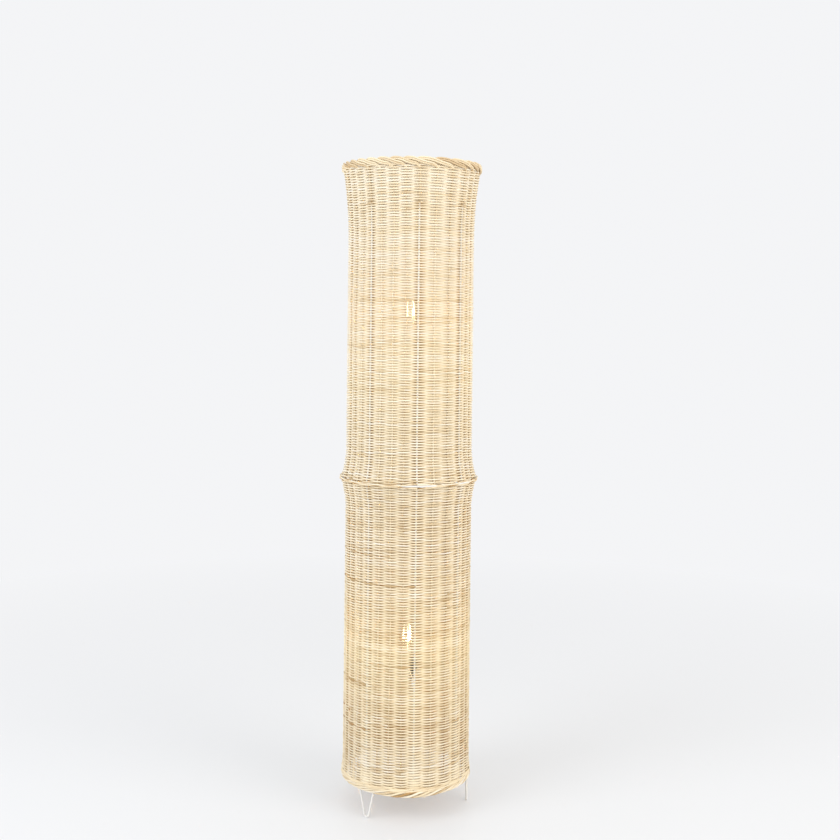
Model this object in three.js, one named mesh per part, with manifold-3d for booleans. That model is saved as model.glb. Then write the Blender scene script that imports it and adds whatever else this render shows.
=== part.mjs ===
// Rattan floor lamp: a tall tube of woven rattan on a white wire frame, lit from inside by two
// bulbs that stand one above the other. Millimetres, +Z up, front towards -Y. The origin is on
// the floor, below the middle of the tube.
import * as THREE from "three";
import { mergeVertices } from "three/addons/utils/BufferGeometryUtils.js";
import Module from "manifold-3d";

const wasm = await Module();
wasm.setup();

const degree = Math.PI / 180;

// Clearance between pieces that touch, and the distance at which vertices are one
const gap = 0.3;
const weldDistance = 0.001;

// Frame: eight uprights, three rings and three hairpin legs of the same wire
const legHeight = 64;
const lowerLength = 646;
const upperLength = 594;
const crownLength = 96;
const wireRadius = 2;
const uprightCount = 8;
const firstUprightTurn = -82.5 * degree;
const legSpread = 39;
const legBendRadius = 6;
const legTurns = { front_left: -126.5 * degree, right: -7 * degree, back_left: 113 * degree };

// Woven tube: stakes on a circle, which swells to a ring like a bamboo node and flares at both ends
const stakeCircle = 135.8;
const stakeRadius = 1.75;
const weaverThickness = 2.7;
const weaveInset = 0.8;
const nodeSwell = 9.8;
const nodeReach = 60;
const nodeSharpness = 1.4;
const topFlare = 12.5;
const topFlareReach = 150;
const footFlare = 1.8;
const footFlareReach = 50;
const bayStakes = [2, 3, 3, 3, 3, 3, 3, 3];

// Braided rim at the top and rolled border at the foot
const rimHeight = 14;
const rimWidth = 14;
const borderHeight = 13;
const borderWidth = 4.4;
const plaitFullnessShare = 0.84;

// Lampholder: a moulded case in two halves, held on its carrier between two screwed rings
const lowerHolderRise = 185;
const upperHolderRise = 257;
const holderRadius = 20;
const holderWall = 2;
const glandRadius = 6.5;
const glandLength = 8;
const cordBoreRadius = 3.5;
const holderCapHeight = 28;
const holderBodyHeight = 35.7;
const holderLipHeight = 3;
const clampRingHeight = 6;
const clampRingWidth = 5.5;
const clampRingLift = 10;
const clampRingGrip = 0.9;
const clampRingRibs = 14;
const carrierRingWidth = 7;
const carrierRingThickness = 2;
const carrierArmRadius = 1.5;
const carrierArmCount = 4;
const contactBlockHeight = 8;
const screwShellThickness = 0.5;
const screwShellHoleRadius = 6;
const contactStripWidth = 4;
const contactStripThickness = 0.5;
const contactStripHeight = 3;
const contactStripReach = 4;

// Bulb: a teardrop of clear glass with four straight light-emitting rods
const screwRadius = 13.2;
const screwPitch = 3.62;
const screwDepth = 0.9;
const screwTurns = 4;
const tipRadius = 4.2;
const tipHeight = 1.6;
const insulatorHeight = 4;
const bulbCapHeight = 27;
const bulbCupDepth = 3;
const bulbCapWall = 1.2;
const bulbLength = 140;
const bulbRadius = 32;
const glassWall = 0.8;
const stemShoulderHeight = 10;
const stemHeight = 22;
const stemNeckRadius = 4;
const stemPostRadius = 1.2;
const rodRadius = 1;
const rodBaseHeight = 41;
const rodTopHeight = 94;
const rodBaseCircle = 12;
const rodTopCircle = 6;
const rodCount = 4;
const rodTurn = 10 * degree;
const leadWireRadius = 0.5;

// Outline of the glass from its neck to its crown, as shares of its radius and of its height
const glassRadiusShares = [0.4, 0.62, 0.86, 1, 0.93, 0.55];
const glassHeightShares = [0.1, 0.27, 0.45, 0.64, 0.83, 0.975];

// Fineness of the facets
const ringSteps = 32;
const carrierRingSteps = 24;
const wireSides = 6;
const latheSteps = 16;
const glassSteps = 9;
const plaitSides = 6;
const footBends = 2;
const nodeBends = 3;
const crownBends = 3;
const legSteps = 11;
const leadWireSides = 4;

// Heights that follow from the frame
const midRingZ = legHeight + lowerLength;
const topRingZ = midRingZ + upperLength;
const lampHeight = topRingZ + crownLength;
const bottomRingZ = legHeight + gap + wireRadius;
const weaveBaseZ = bottomRingZ + wireRadius + gap;
const weaveTopZ = lampHeight - rimHeight - gap;
const wallCrest = stakeRadius + weaverThickness;
const wallValley = weaverThickness / 2;
const slotDepth = wireRadius + gap;

// Radius of the circle of stakes at a height
function stakeLine(z) {
  const offNode = Math.min(Math.abs(z - midRingZ) / nodeReach, 1);
  const intoTop = Math.max((z - weaveTopZ) / topFlareReach + 1, 0);
  const intoFoot = Math.max((weaveBaseZ - z) / footFlareReach + 1, 0);
  return stakeCircle + nodeSwell * (1 - offNode) ** nodeSharpness
    + topFlare * intoTop ** 2 + footFlare * intoFoot ** 2;
}

function evenly(from, to, parts) {
  return Array.from({ length: parts + 1 }, (_, i) => from + ((to - from) * i) / parts);
}

// Heights at which the tube changes direction, shared by the wall and the uprights in it
const uprightTopZ = topRingZ + wireRadius;
const bendHeights = [...new Set([
  ...evenly(weaveBaseZ, weaveBaseZ + footFlareReach, footBends),
  ...evenly(midRingZ - nodeReach, midRingZ - slotDepth, nodeBends),
  midRingZ,
  ...evenly(midRingZ + slotDepth, midRingZ + nodeReach, nodeBends),
  ...evenly(weaveTopZ - topFlareReach, uprightTopZ, crownBends),
  ...evenly(uprightTopZ, weaveTopZ, crownBends),
])].sort((a, b) => a - b);

function heightsBetween(low, high) {
  return [low, ...bendHeights.filter((z) => z > low + gap && z < high - gap), high];
}

function around(turn, radius) {
  return new THREE.Vector2(radius * Math.cos(turn), radius * Math.sin(turn));
}

// Regular polygon with a flat side towards -Y, as far from its middle as the given radius
function roundSection(radius, sides, centre = new THREE.Vector2()) {
  const corner = radius / Math.cos(Math.PI / sides);
  const points = Array.from({ length: sides }, (_, i) =>
    around((2 * Math.PI * (i + 0.5)) / sides - Math.PI / 2, corner).add(centre));
  return new THREE.Shape(points);
}

// Closed solid with shared vertices, no empty triangles and its faces pointing out
function solid(geometry) {
  const bare = geometry.clone();
  bare.deleteAttribute("normal");
  bare.deleteAttribute("uv");
  const merged = mergeVertices(bare, weldDistance);
  const corners = merged.index.array;
  const kept = [];
  for (let i = 0; i < corners.length; i += 3) {
    const [a, b, c] = corners.slice(i, i + 3);
    if (a !== b && b !== c && c !== a) kept.push(a, b, c);
  }
  merged.setIndex(signedVolume(merged, kept) < 0 ? kept.reverse() : kept);
  return merged;
}

function signedVolume(geometry, corners) {
  const position = geometry.getAttribute("position");
  const [a, b, c] = [new THREE.Vector3(), new THREE.Vector3(), new THREE.Vector3()];
  let sum = 0;
  for (let i = 0; i < corners.length; i += 3) {
    a.fromBufferAttribute(position, corners[i]);
    b.fromBufferAttribute(position, corners[i + 1]);
    c.fromBufferAttribute(position, corners[i + 2]);
    sum += a.dot(b.cross(c));
  }
  return sum / 6;
}

// One solid from several that cross each other
function fused(geometries) {
  const bodies = geometries.map((geometry) => {
    const closed = solid(geometry);
    const vertProperties = new Float32Array(closed.getAttribute("position").array);
    return new wasm.Manifold(new wasm.Mesh({
      numProp: 3, vertProperties, triVerts: new Uint32Array(closed.index.array),
    }));
  });
  const mesh = bodies.reduce((whole, next) => whole.add(next)).getMesh();
  const geometry = new THREE.BufferGeometry();
  geometry.setAttribute("position", new THREE.BufferAttribute(mesh.vertProperties, 3));
  geometry.setIndex([...mesh.triVerts]);
  return geometry;
}

// Turned piece about the Z axis, from a profile of radius and height
function turned(profile, steps = latheSteps) {
  const points = profile.map(([radius, height]) => new THREE.Vector2(radius, height));
  return new THREE.LatheGeometry(points, steps).rotateX(Math.PI / 2);
}

// Turned piece whose profile closes on itself round a bore
function turnedRing(profile, steps = latheSteps) {
  return turned([...profile, profile[0]], steps);
}

function rod(from, to, radius, sides = wireSides) {
  const along = new THREE.Vector3().subVectors(to, from);
  const turn = new THREE.Quaternion().setFromUnitVectors(
    new THREE.Vector3(0, 1, 0), along.clone().normalize());
  const middle = new THREE.Vector3().addVectors(from, to).multiplyScalar(1 / 2);
  return new THREE.CylinderGeometry(radius, radius, along.length(), sides)
    .applyQuaternion(turn).translate(...middle);
}

// A flat section drawn at the plain stake circle, run up the tube so that it follows the stakes
function runUp(section, low, high) {
  const heights = heightsBetween(low, high);
  const steps = heights.length - 1;
  const geometry = new THREE.ExtrudeGeometry(section, { depth: 1, steps, bevelEnabled: false });
  const position = geometry.getAttribute("position");
  const point = new THREE.Vector2();
  for (let i = 0; i < position.count; i += 1) {
    const z = heights[Math.round(position.getZ(i) * steps)];
    point.set(position.getX(i), position.getY(i));
    point.setLength(point.length() + stakeLine(z) - stakeCircle);
    position.setXYZ(i, point.x, point.y, z);
  }
  return geometry;
}

const bottomRingRadius = stakeLine(weaveBaseZ);

// Every stake of the weave in order round the tube. One in each bay is a wire upright.
function listStakes() {
  const bay = (2 * Math.PI) / uprightCount;
  return Array.from({ length: uprightCount }, (_, k) => {
    const rattan = bayStakes[k % bayStakes.length];
    const start = firstUprightTurn + bay * k;
    return Array.from({ length: rattan + 1 }, (_, i) => ({
      turn: start + (bay * i) / (rattan + 1), isWire: i === 0,
    }));
  }).flat();
}

const stakes = listStakes();

// Section of the woven wall: a crest over each stake, a valley between stakes, and on the
// inner face an open slot round each wire
function weaveSection() {
  const outer = [];
  const inner = [];
  const innerFace = stakeCircle - weaveInset;
  const slotFloor = stakeCircle + slotDepth;
  const halfSlot = slotDepth / innerFace;
  stakes.forEach(({ turn, isWire }, i) => {
    const next = i + 1 < stakes.length ? stakes[i + 1].turn : stakes[0].turn + 2 * Math.PI;
    outer.push(around(turn, stakeCircle + wallCrest));
    outer.push(around((turn + next) / 2, stakeCircle + wallValley));
    if (isWire) {
      inner.push(around(turn - halfSlot, innerFace), around(turn - halfSlot, slotFloor));
      inner.push(around(turn + halfSlot, slotFloor), around(turn + halfSlot, innerFace));
    } else {
      inner.push(around(turn, innerFace));
    }
  });
  const section = new THREE.Shape(outer);
  section.holes.push(new THREE.Path(inner));
  return section;
}

function weave(low, high) {
  return runUp(weaveSection(), low, high);
}

function upright(turn) {
  const section = roundSection(wireRadius * Math.cos(Math.PI / wireSides), wireSides,
    around(turn, stakeCircle));
  return runUp(section, weaveBaseZ, uprightTopZ);
}

function wireRing(radius) {
  return new THREE.TorusGeometry(radius, wireRadius, wireSides, ringSteps).rotateZ(firstUprightTurn);
}

// Ring of bent-over stake ends: full where each stake turns over, drawn in between them
function plaitedRing(radius, width, height) {
  const steps = 2 * stakes.length;
  const flatTop = height / (2 * Math.cos(Math.PI / plaitSides));
  const geometry = new THREE.TorusGeometry(radius, 1, plaitSides, steps);
  const position = geometry.getAttribute("position");
  const point = new THREE.Vector2();
  for (let i = 0; i < position.count; i += 1) {
    point.set(position.getX(i), position.getY(i));
    const step = Math.round((point.angle() * steps) / (2 * Math.PI));
    const fullness = step % 2 === 0 ? 1 : plaitFullnessShare;
    point.setLength(radius + ((point.length() - radius) * width * fullness) / 2);
    position.setXYZ(i, point.x, point.y, position.getZ(i) * flatTop * fullness);
  }
  return geometry.rotateZ(firstUprightTurn);
}

// Hairpin in the XZ plane: two prongs that lean together into a round bend. Each prong is one
// step of the curve, and the bend has the rest.
class Hairpin extends THREE.Curve {
  constructor() {
    super();
    const lean = Math.atan2(legSpread / 2 - legBendRadius, legHeight);
    const endZ = legHeight - wireRadius * (1 + Math.sin(lean));
    const toEnd = new THREE.Vector2(legSpread / 2, endZ - legBendRadius);
    this.bendTurn = toEnd.angle() - Math.acos(legBendRadius / toEnd.length());
    this.prong = Math.sqrt(toEnd.lengthSq() - legBendRadius ** 2);
  }

  getPoint(share) {
    const fromEnd = Math.min(share, 1 - share) * legSteps;
    const intoBend = Math.max(fromEnd - 1, 0) / (legSteps / 2 - 1);
    const turn = this.bendTurn - (this.bendTurn + Math.PI / 2) * intoBend;
    const past = Math.max(1 - fromEnd, 0) * this.prong;
    const point = around(turn, legBendRadius).add(around(turn + Math.PI / 2, past));
    const side = share < 1 / 2 ? -1 : 1;
    return new THREE.Vector3(side * point.x, 0, point.y + legBendRadius);
  }

  getPointAt(share) {
    return this.getPoint(share);
  }

  getTangentAt(share) {
    return this.getTangent(share);
  }
}

// Leg that stands on the floor, with a small flat under its bend
function leg() {
  const section = roundSection(wireRadius * Math.cos(Math.PI / wireSides), wireSides);
  const geometry = new THREE.ExtrudeGeometry(section, {
    steps: legSteps, bevelEnabled: false, extrudePath: new Hairpin(),
  });
  geometry.computeBoundingBox();
  return geometry.translate(0, 0, -geometry.boundingBox.min.z);
}

function carrier(armReach) {
  const bore = holderRadius + gap;
  const rim = bore + carrierRingWidth;
  const ring = turnedRing([
    [bore, 0], [rim, 0], [rim, carrierRingThickness], [bore, carrierRingThickness],
  ], carrierRingSteps);
  const armZ = carrierRingThickness / 2;
  const arms = Array.from({ length: carrierArmCount }, (_, i) => {
    const turn = firstUprightTurn + (2 * Math.PI * i) / carrierArmCount;
    const from = around(turn, bore + clampRingWidth + gap);
    const to = around(turn, armReach);
    return rod(new THREE.Vector3(from.x, from.y, armZ), new THREE.Vector3(to.x, to.y, armZ),
      carrierArmRadius);
  });
  return fused([ring, ...arms]);
}

// Ribbed ring that screws onto the lampholder
function clampRing() {
  const bore = (holderRadius + gap) / Math.cos(Math.PI / clampRingRibs);
  const ribStep = Math.PI / clampRingRibs;
  const rim = holderRadius + gap + clampRingWidth;
  const outer = Array.from({ length: 2 * clampRingRibs }, (_, i) =>
    around(ribStep * i, rim - (i % 2) * clampRingGrip));
  const inner = Array.from({ length: clampRingRibs }, (_, i) => around(2 * ribStep * i, bore));
  const section = new THREE.Shape(outer);
  section.holes.push(new THREE.Path(inner));
  return new THREE.ExtrudeGeometry(section, { depth: clampRingHeight, bevelEnabled: false });
}

// Bowl-shaped lower half of the lampholder, with the gland where a cord comes in
function holderCap() {
  const bowl = (innerRadius, outerRadius, base) => evenly(0, Math.PI / 2, 3).map((turn) => [
    innerRadius + (outerRadius - innerRadius) * Math.sin(turn),
    base + (holderCapHeight - base) * (1 - Math.cos(turn)),
  ]);
  return turnedRing([
    [cordBoreRadius, 0], [glandRadius, 0],
    ...bowl(glandRadius, holderRadius, glandLength),
    ...bowl(cordBoreRadius, holderRadius - holderWall, glandLength + holderWall).reverse(),
  ]);
}

// Straight upper half, with a lip at its mouth round the screw shell
function holderBody() {
  const bore = holderRadius - holderWall;
  const mouth = screwRadius + screwShellThickness + 2 * gap;
  const lipZ = holderBodyHeight - holderLipHeight;
  return turnedRing([
    [bore, 0], [holderRadius, 0], [holderRadius, holderBodyHeight - holderWall],
    [holderRadius - holderWall / 2, holderBodyHeight], [mouth, holderBodyHeight],
    [mouth, lipZ], [bore, lipZ - holderWall],
  ]);
}

function contactBlock() {
  const radius = holderRadius - holderWall - gap;
  const chamfer = holderWall / 2;
  return turned([
    [0, 0], [radius, 0], [radius, contactBlockHeight - chamfer],
    [radius - chamfer, contactBlockHeight], [0, contactBlockHeight],
  ]);
}

const screwShellHeight = holderBodyHeight - contactBlockHeight - gap;

function screwShell() {
  const bore = screwRadius + gap;
  const outside = bore + screwShellThickness;
  return turnedRing([
    [screwShellHoleRadius, 0], [outside, 0], [outside, screwShellHeight],
    [bore, screwShellHeight], [bore, screwShellThickness],
    [screwShellHoleRadius, screwShellThickness],
  ]);
}

// Strip bent up so that it springs against the bulb's tip
function contactStrip() {
  const rise = contactStripHeight;
  const thick = contactStripThickness;
  const reach = contactStripReach;
  const profile = new THREE.Shape([
    new THREE.Vector2(-reach, 0), new THREE.Vector2(0, 0),
    new THREE.Vector2(reach / 2, rise - thick), new THREE.Vector2(reach, rise - thick),
    new THREE.Vector2(reach, rise), new THREE.Vector2(0, rise),
    new THREE.Vector2(-reach / 2, thick), new THREE.Vector2(-reach, thick),
  ]);
  return new THREE.ExtrudeGeometry(profile, { depth: contactStripWidth, bevelEnabled: false })
    .translate(0, 0, -contactStripWidth / 2).rotateX(Math.PI / 2);
}

function bulbTip() {
  return turned([[0, 0], [tipRadius / 2, 0], [tipRadius, tipHeight / 2], [tipRadius, tipHeight],
    [0, tipHeight]]);
}

// Screw cap: an insulating cone, thread crests and a cup that holds the neck of the glass
function bulbCap() {
  const base = tipHeight + gap;
  const root = screwRadius - screwDepth;
  const cup = screwRadius - bulbCapWall;
  const threadZ = base + insulatorHeight;
  const thread = Array.from({ length: screwTurns }, (_, i) => [
    [screwRadius, threadZ + screwPitch * (i + 1 / 2)], [root, threadZ + screwPitch * (i + 1)],
  ]).flat();
  return turned([
    [0, base], [tipRadius, base], [root, threadZ], ...thread,
    [screwRadius, bulbCapHeight - bulbCapWall], [screwRadius, bulbCapHeight],
    [cup, bulbCapHeight], [cup, bulbCapHeight - bulbCupDepth], [0, bulbCapHeight - bulbCupDepth],
  ]);
}

// Glass open at its neck, with an even wall
function bulbGlass() {
  const neck = screwRadius - bulbCapWall - gap;
  const base = bulbCapHeight - bulbCupDepth + gap;
  const height = bulbLength - base;
  const shoulder = glassRadiusShares.map((share, i) =>
    new THREE.Vector2(share * bulbRadius, base + glassHeightShares[i] * height));
  const side = new THREE.SplineCurve([new THREE.Vector2(neck, base), ...shoulder,
    new THREE.Vector2(0, bulbLength)]);
  const outer = side.getPoints(glassSteps);
  const inner = outer.map((point, i) => {
    const along = side.getTangent(i / glassSteps);
    return new THREE.Vector2(point.x - along.y * glassWall, point.y + along.x * glassWall);
  });
  inner[0].set(neck - glassWall, base);
  inner[glassSteps].set(0, bulbLength - glassWall);
  const profile = [...inner.reverse(), ...outer].map((point) => [point.x, point.y]);
  return turned(profile);
}

// Glass stem with a post, and the rods that hang between its lead wires
function bulbMount() {
  const base = bulbCapHeight - bulbCupDepth + gap;
  const foot = screwRadius - bulbCapWall - glassWall - 2 * gap;
  const stem = turned([
    [0, base], [foot, base], [stemNeckRadius, base + stemShoulderHeight],
    [stemPostRadius, base + stemHeight], [stemPostRadius, rodTopHeight], [0, rodTopHeight],
  ], wireSides);
  const pieces = Array.from({ length: rodCount }, (_, i) => {
    const turn = rodTurn + (2 * Math.PI * i) / rodCount;
    const low = around(turn, rodBaseCircle);
    const high = around(turn, rodTopCircle);
    const lowEnd = new THREE.Vector3(low.x, low.y, rodBaseHeight);
    const highEnd = new THREE.Vector3(high.x, high.y, rodTopHeight - rodRadius);
    const foothold = new THREE.Vector3(0, 0, rodBaseHeight);
    const top = new THREE.Vector3(0, 0, rodTopHeight - rodRadius);
    return [rod(lowEnd, highEnd, rodRadius), rod(foothold, lowEnd, leadWireRadius, leadWireSides),
      rod(top, highEnd, leadWireRadius, leadWireSides)];
  }).flat();
  return fused([stem, ...pieces]);
}

const finishes = {
  wire: { color: 0xf2f1ee, roughness: 0.45, metalness: 0 },
  rattan: { color: 0xe3cda3, roughness: 0.7, metalness: 0 },
  case: { color: 0x161514, roughness: 0.35, metalness: 0 },
  ceramic: { color: 0xe9e6df, roughness: 0.3, metalness: 0 },
  brass: { color: 0xb08d4a, roughness: 0.35, metalness: 1 },
  nickel: { color: 0xc4c2bd, roughness: 0.3, metalness: 1 },
  glass: { color: 0xf6f2e8, roughness: 0.05, metalness: 0, transparent: true, opacity: 0.3 },
  glow: { color: 0xffd890, roughness: 0.4, metalness: 0, emissive: 0xffb860 },
};

function part(name, geometry, finish, z = 0) {
  const mesh = new THREE.Mesh(solid(geometry), new THREE.MeshStandardMaterial(finishes[finish]));
  mesh.name = name;
  mesh.position.z = z;
  return mesh;
}

// Legs, rings and uprights, welded where they meet
function wireFrame() {
  const frame = new THREE.Group();
  const innerOffset = 2 * wireRadius + gap;
  const legCircle = Math.sqrt(bottomRingRadius ** 2 - (legSpread / 2) ** 2);
  Object.entries(legTurns).forEach(([place, turn]) => {
    const mesh = part(`leg_${place}`, leg(), "wire");
    mesh.position.set(...around(turn, legCircle), 0);
    mesh.rotation.z = turn + Math.PI / 2;
    frame.add(mesh);
  });
  frame.add(part("bottom_ring", wireRing(bottomRingRadius), "wire", bottomRingZ));
  frame.add(part("middle_ring", wireRing(stakeLine(midRingZ) + innerOffset), "wire", midRingZ));
  frame.add(part("top_ring", wireRing(stakeLine(topRingZ) - innerOffset), "wire", topRingZ));
  stakes.filter((stake) => stake.isWire).forEach(({ turn }, i) => {
    frame.add(part(`upright_${i + 1}`, upright(turn), "wire"));
  });
  return frame;
}

// Woven wall below and above the middle ring, the border under it and the braid on top
function wovenTube() {
  const tube = new THREE.Group();
  const borderRadius = bottomRingRadius + slotDepth + borderWidth / 2;
  tube.add(part("bottom_border", plaitedRing(borderRadius, borderWidth, borderHeight), "rattan",
    weaveBaseZ - gap - borderHeight / 2));
  tube.add(part("lower_weave", weave(weaveBaseZ, midRingZ - slotDepth), "rattan"));
  tube.add(part("upper_weave", weave(midRingZ + slotDepth, weaveTopZ), "rattan"));
  tube.add(part("top_braid", plaitedRing(stakeLine(weaveTopZ) + gap, rimWidth, rimHeight),
    "rattan", lampHeight - rimHeight / 2));
  return tube;
}

function bulb(name) {
  const group = new THREE.Group();
  group.add(part(`${name}_bulb_tip`, bulbTip(), "nickel"));
  group.add(part(`${name}_bulb_cap`, bulbCap(), "nickel"));
  group.add(part(`${name}_bulb_glass`, bulbGlass(), "glass"));
  group.add(part(`${name}_bulb_filament`, bulbMount(), "glow"));
  return group;
}

// Lampholder on its carrier, with its bulb screwed in. Its own zero is the mouth of the gland.
function lightPoint(name, baseZ) {
  const group = new THREE.Group();
  group.position.z = baseZ;
  const bodyZ = holderCapHeight + gap;
  const blockTopZ = bodyZ + contactBlockHeight;
  const lowClampZ = bodyZ + clampRingLift;
  const carrierZ = lowClampZ + clampRingHeight + gap;
  const highClampZ = carrierZ + carrierRingThickness + gap;
  const armReach = stakeLine(baseZ + carrierZ) - slotDepth;
  group.add(part(`${name}_carrier`, carrier(armReach), "wire", carrierZ));
  group.add(part(`${name}_holder_cap`, holderCap(), "case"));
  group.add(part(`${name}_holder_body`, holderBody(), "case", bodyZ));
  group.add(part(`${name}_clamp_ring_low`, clampRing(), "case", lowClampZ));
  group.add(part(`${name}_clamp_ring_high`, clampRing(), "case", highClampZ));
  group.add(part(`${name}_contact_block`, contactBlock(), "ceramic", bodyZ));
  group.add(part(`${name}_screw_shell`, screwShell(), "brass", blockTopZ + gap));
  group.add(part(`${name}_contact_strip`, contactStrip(), "brass", blockTopZ + gap));
  const fitted = bulb(name);
  fitted.position.z = blockTopZ + contactStripHeight + 2 * gap;
  group.add(fitted);
  return group;
}

const lamp = new THREE.Group();
lamp.add(wireFrame());
lamp.add(wovenTube());
lamp.add(lightPoint("lower", legHeight + lowerHolderRise));
lamp.add(lightPoint("upper", midRingZ + upperHolderRise));

export default lamp;
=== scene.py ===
"""Rattan floor lamp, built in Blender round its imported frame.

A tall woven tube stands on a white wire frame with three hairpin legs. Two screw-in bulbs light
it from inside. Metres, +Z up, front towards -Y.
"""

import math

import bmesh
import bpy
import numpy as np
from bpy.props import FloatProperty, FloatVectorProperty, PointerProperty
from mathutils import Matrix, Vector


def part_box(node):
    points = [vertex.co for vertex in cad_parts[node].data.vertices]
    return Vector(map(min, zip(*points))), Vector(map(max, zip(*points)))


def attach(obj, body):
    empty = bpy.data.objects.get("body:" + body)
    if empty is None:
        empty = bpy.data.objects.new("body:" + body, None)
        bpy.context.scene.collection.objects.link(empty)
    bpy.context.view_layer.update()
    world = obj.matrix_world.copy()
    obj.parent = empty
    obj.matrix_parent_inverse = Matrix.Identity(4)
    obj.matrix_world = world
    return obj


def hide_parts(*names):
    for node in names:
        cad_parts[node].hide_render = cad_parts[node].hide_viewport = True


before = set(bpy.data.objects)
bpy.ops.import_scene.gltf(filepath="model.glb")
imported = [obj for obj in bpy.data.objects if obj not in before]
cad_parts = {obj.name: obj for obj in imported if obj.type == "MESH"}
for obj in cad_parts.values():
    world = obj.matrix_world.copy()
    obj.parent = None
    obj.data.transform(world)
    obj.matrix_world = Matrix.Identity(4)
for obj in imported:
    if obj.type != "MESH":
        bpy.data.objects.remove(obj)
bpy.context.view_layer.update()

bl_info = {
    "name": "Rattan floor lamp",
    "version": (1, 0, 0),
    "blender": (4, 5, 0),
    "location": "3D View > Sidebar > Lamp",
    "description": "Builds a woven rattan floor lamp round its wire frame",
    "category": "Add Mesh",
}

TAU = 2 * math.pi
MM = 0.001
LEVELS = ("lower", "upper")
UPWARD = np.array([0, 0, 1])
WHITE = (1, 1, 1, 1)


def middle_z(node):
    """Height of the middle of a frame node."""
    low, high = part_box(node)
    return (low.z + high.z) / 2


# Heights and clearance that come from the frame
BOTTOM_RING_Z = middle_z("bottom_ring")
MID_RING_Z = middle_z("middle_ring")
TOP_RING_Z = middle_z("top_ring")
BORDER_Z = middle_z("bottom_border")
WEAVE_BASE_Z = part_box("lower_weave")[0].z
WEAVE_TOP_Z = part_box("upper_weave")[1].z
LAMP_TOP_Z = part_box("top_braid")[1].z
GAP = 0.3 * MM
# The wires end here, and short rattan stakes go on above them
WIRE_END_Z = TOP_RING_Z + 3 * MM

# Stakes round the tube: one wire upright starts each bay, and the rattan stakes share the rest
FIRST_TURN = math.radians(-82.5)
BAY_STAKES = (2, 3, 3, 3, 3, 3, 3, 3)

# Hairpin legs: where they stand, how far their prongs spread and the inner radius of the bend
LEG_TURNS = {
    "front_left": math.radians(-126.5),
    "right": math.radians(-7),
    "back_left": math.radians(113),
}
LEG_SPREAD, LEG_BEND = 39 * MM, 6 * MM

# Rods of the weave: sides, and places per stake along them, usual and where the rods part
ROD_SIDES = 6
PLACES, PARTED_PLACES = 4, 16
# Lengths in turns of the tube, of the usual rods and of the darker ones, and the darker ones' share
ROD_LENGTH, DARKER_LENGTH, DARKER_SHARE = (0.25, 1.1), (0.12, 0.4), 0.13
# How uneven they lie, up and down, and how unevenly they bulge round the stakes
ROD_LIFT, ROD_PRESS = 0.11 * MM, 0.06
# Room between the middle ring and the rows next to it, and at the foot and top of the wall
RING_ROOM, FOOT_ROOM, TOP_ROOM = 3.3 * MM, 1.7 * MM, 0.2 * MM
# The rows are packed closer at the foot: how far they sink at most, and how high above the foot
FOOT_PACKING, FOOT_PACKING_Z = 2.2 * MM, 0.035
# The rods are fuller below this height, and grow fuller over so much of it
FULL_FOOT_Z, FULL_FOOT_FADE = 0.12, 0.03
# Patch near the foot where the light shows through: degrees from the front, half its width,
# height and half how tall it is
PATCH_ASIDE, PATCH_WIDE, PATCH_Z, PATCH_TALL = -8, 50, 0.126, 0.036
# Rows are seen level at this height. Behind the stakes the others lie off by so much per metre
EYE_Z, LEAN = 1.07, 2.2 * MM
# Where the rods part in front of the bulbs and of the lower lampholder: how far, degrees from the
# front, how wide, height and how tall
WINDOWS = (
    (0.9, -2.5, 1.2, 1.074, 0.028), (1.0, 3.3, 1.2, 1.074, 0.028),
    (1.5, -4.6, 1.8, 0.400, 0.026), (1.3, 2.8, 1.6, 0.398, 0.026),
    (1.6, 6.5, 4.0, 0.318, 0.034),
)
# Where the two rows over the middle ring part: from and to, in degrees from the front, how far
RING_WINDOWS = ((-3, 21, 1), (46, 60, 0.6), (150, 163, 0.8), (236, 252, 1))
# Course of these rows where they keep together and where they part: -1 behind a stake to 1 in
# front of it, millimetres outward, millimetres from the middle of the ring
TOGETHER = ((-1, 1.0, 1.2), (0, 1.9, 1.4), (1, 2.7, 1.5))
APART = ((-1, -3.3, 4.6), (-0.5, -1.2, 4.2), (0, 0.8, 3.8), (0.6, 1.7, 3.6), (1, 2.4, 3.4))

# Course of a stake's end through the rim: stakes passed, millimetres outward from the circle of
# stakes, millimetres above the wall
RIM_ROUTE = (
    (0.00, 0.0, -8.0), (0.10, 0.8, -4.0), (0.32, 3.6, 0.4), (0.62, 5.2, 2.2),
    (0.95, 5.6, 5.2), (1.25, 5.2, 8.8), (1.60, 3.8, 11.6), (2.00, 1.4, 12.4),
    (2.32, -2.4, 10.6), (2.65, -5.2, 6.4), (3.00, -5.6, 1.0),
)
RIM_FULLNESS, RIM_LIMIT_Z = 1.14, LAMP_TOP_Z + 3.0 * MM

# Lampholders and bulbs
CASE_RADIUS, CASE_WALL = 20 * MM, 2 * MM
BULB_RADIUS, BULB_LENGTH, BULB_NECK, GLASS_WALL = 32 * MM, 140 * MM, 11.7 * MM, 0.8 * MM
GLASS_FOOT = 24.3 * MM
THREAD_PITCH, THREAD_DEPTH, THREAD_ROOT = 3.62 * MM, 0.9 * MM, 12.3 * MM
LIGHT_HEIGHT = 67 * MM


# Sizes and colours that a user may change


def metres(name, description, default):
    """Property for a length."""
    return FloatProperty(name=name, description=description, default=default, unit="LENGTH")


def watts(name, description, default):
    """Property for the power of a light."""
    return FloatProperty(name=name, description=description, default=default, subtype="POWER")


def tint(name, description, default):
    """Property for a colour."""
    return FloatVectorProperty(
        name=name, description=description, default=default, subtype="COLOR", size=3, min=0, max=1,
    )


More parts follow.
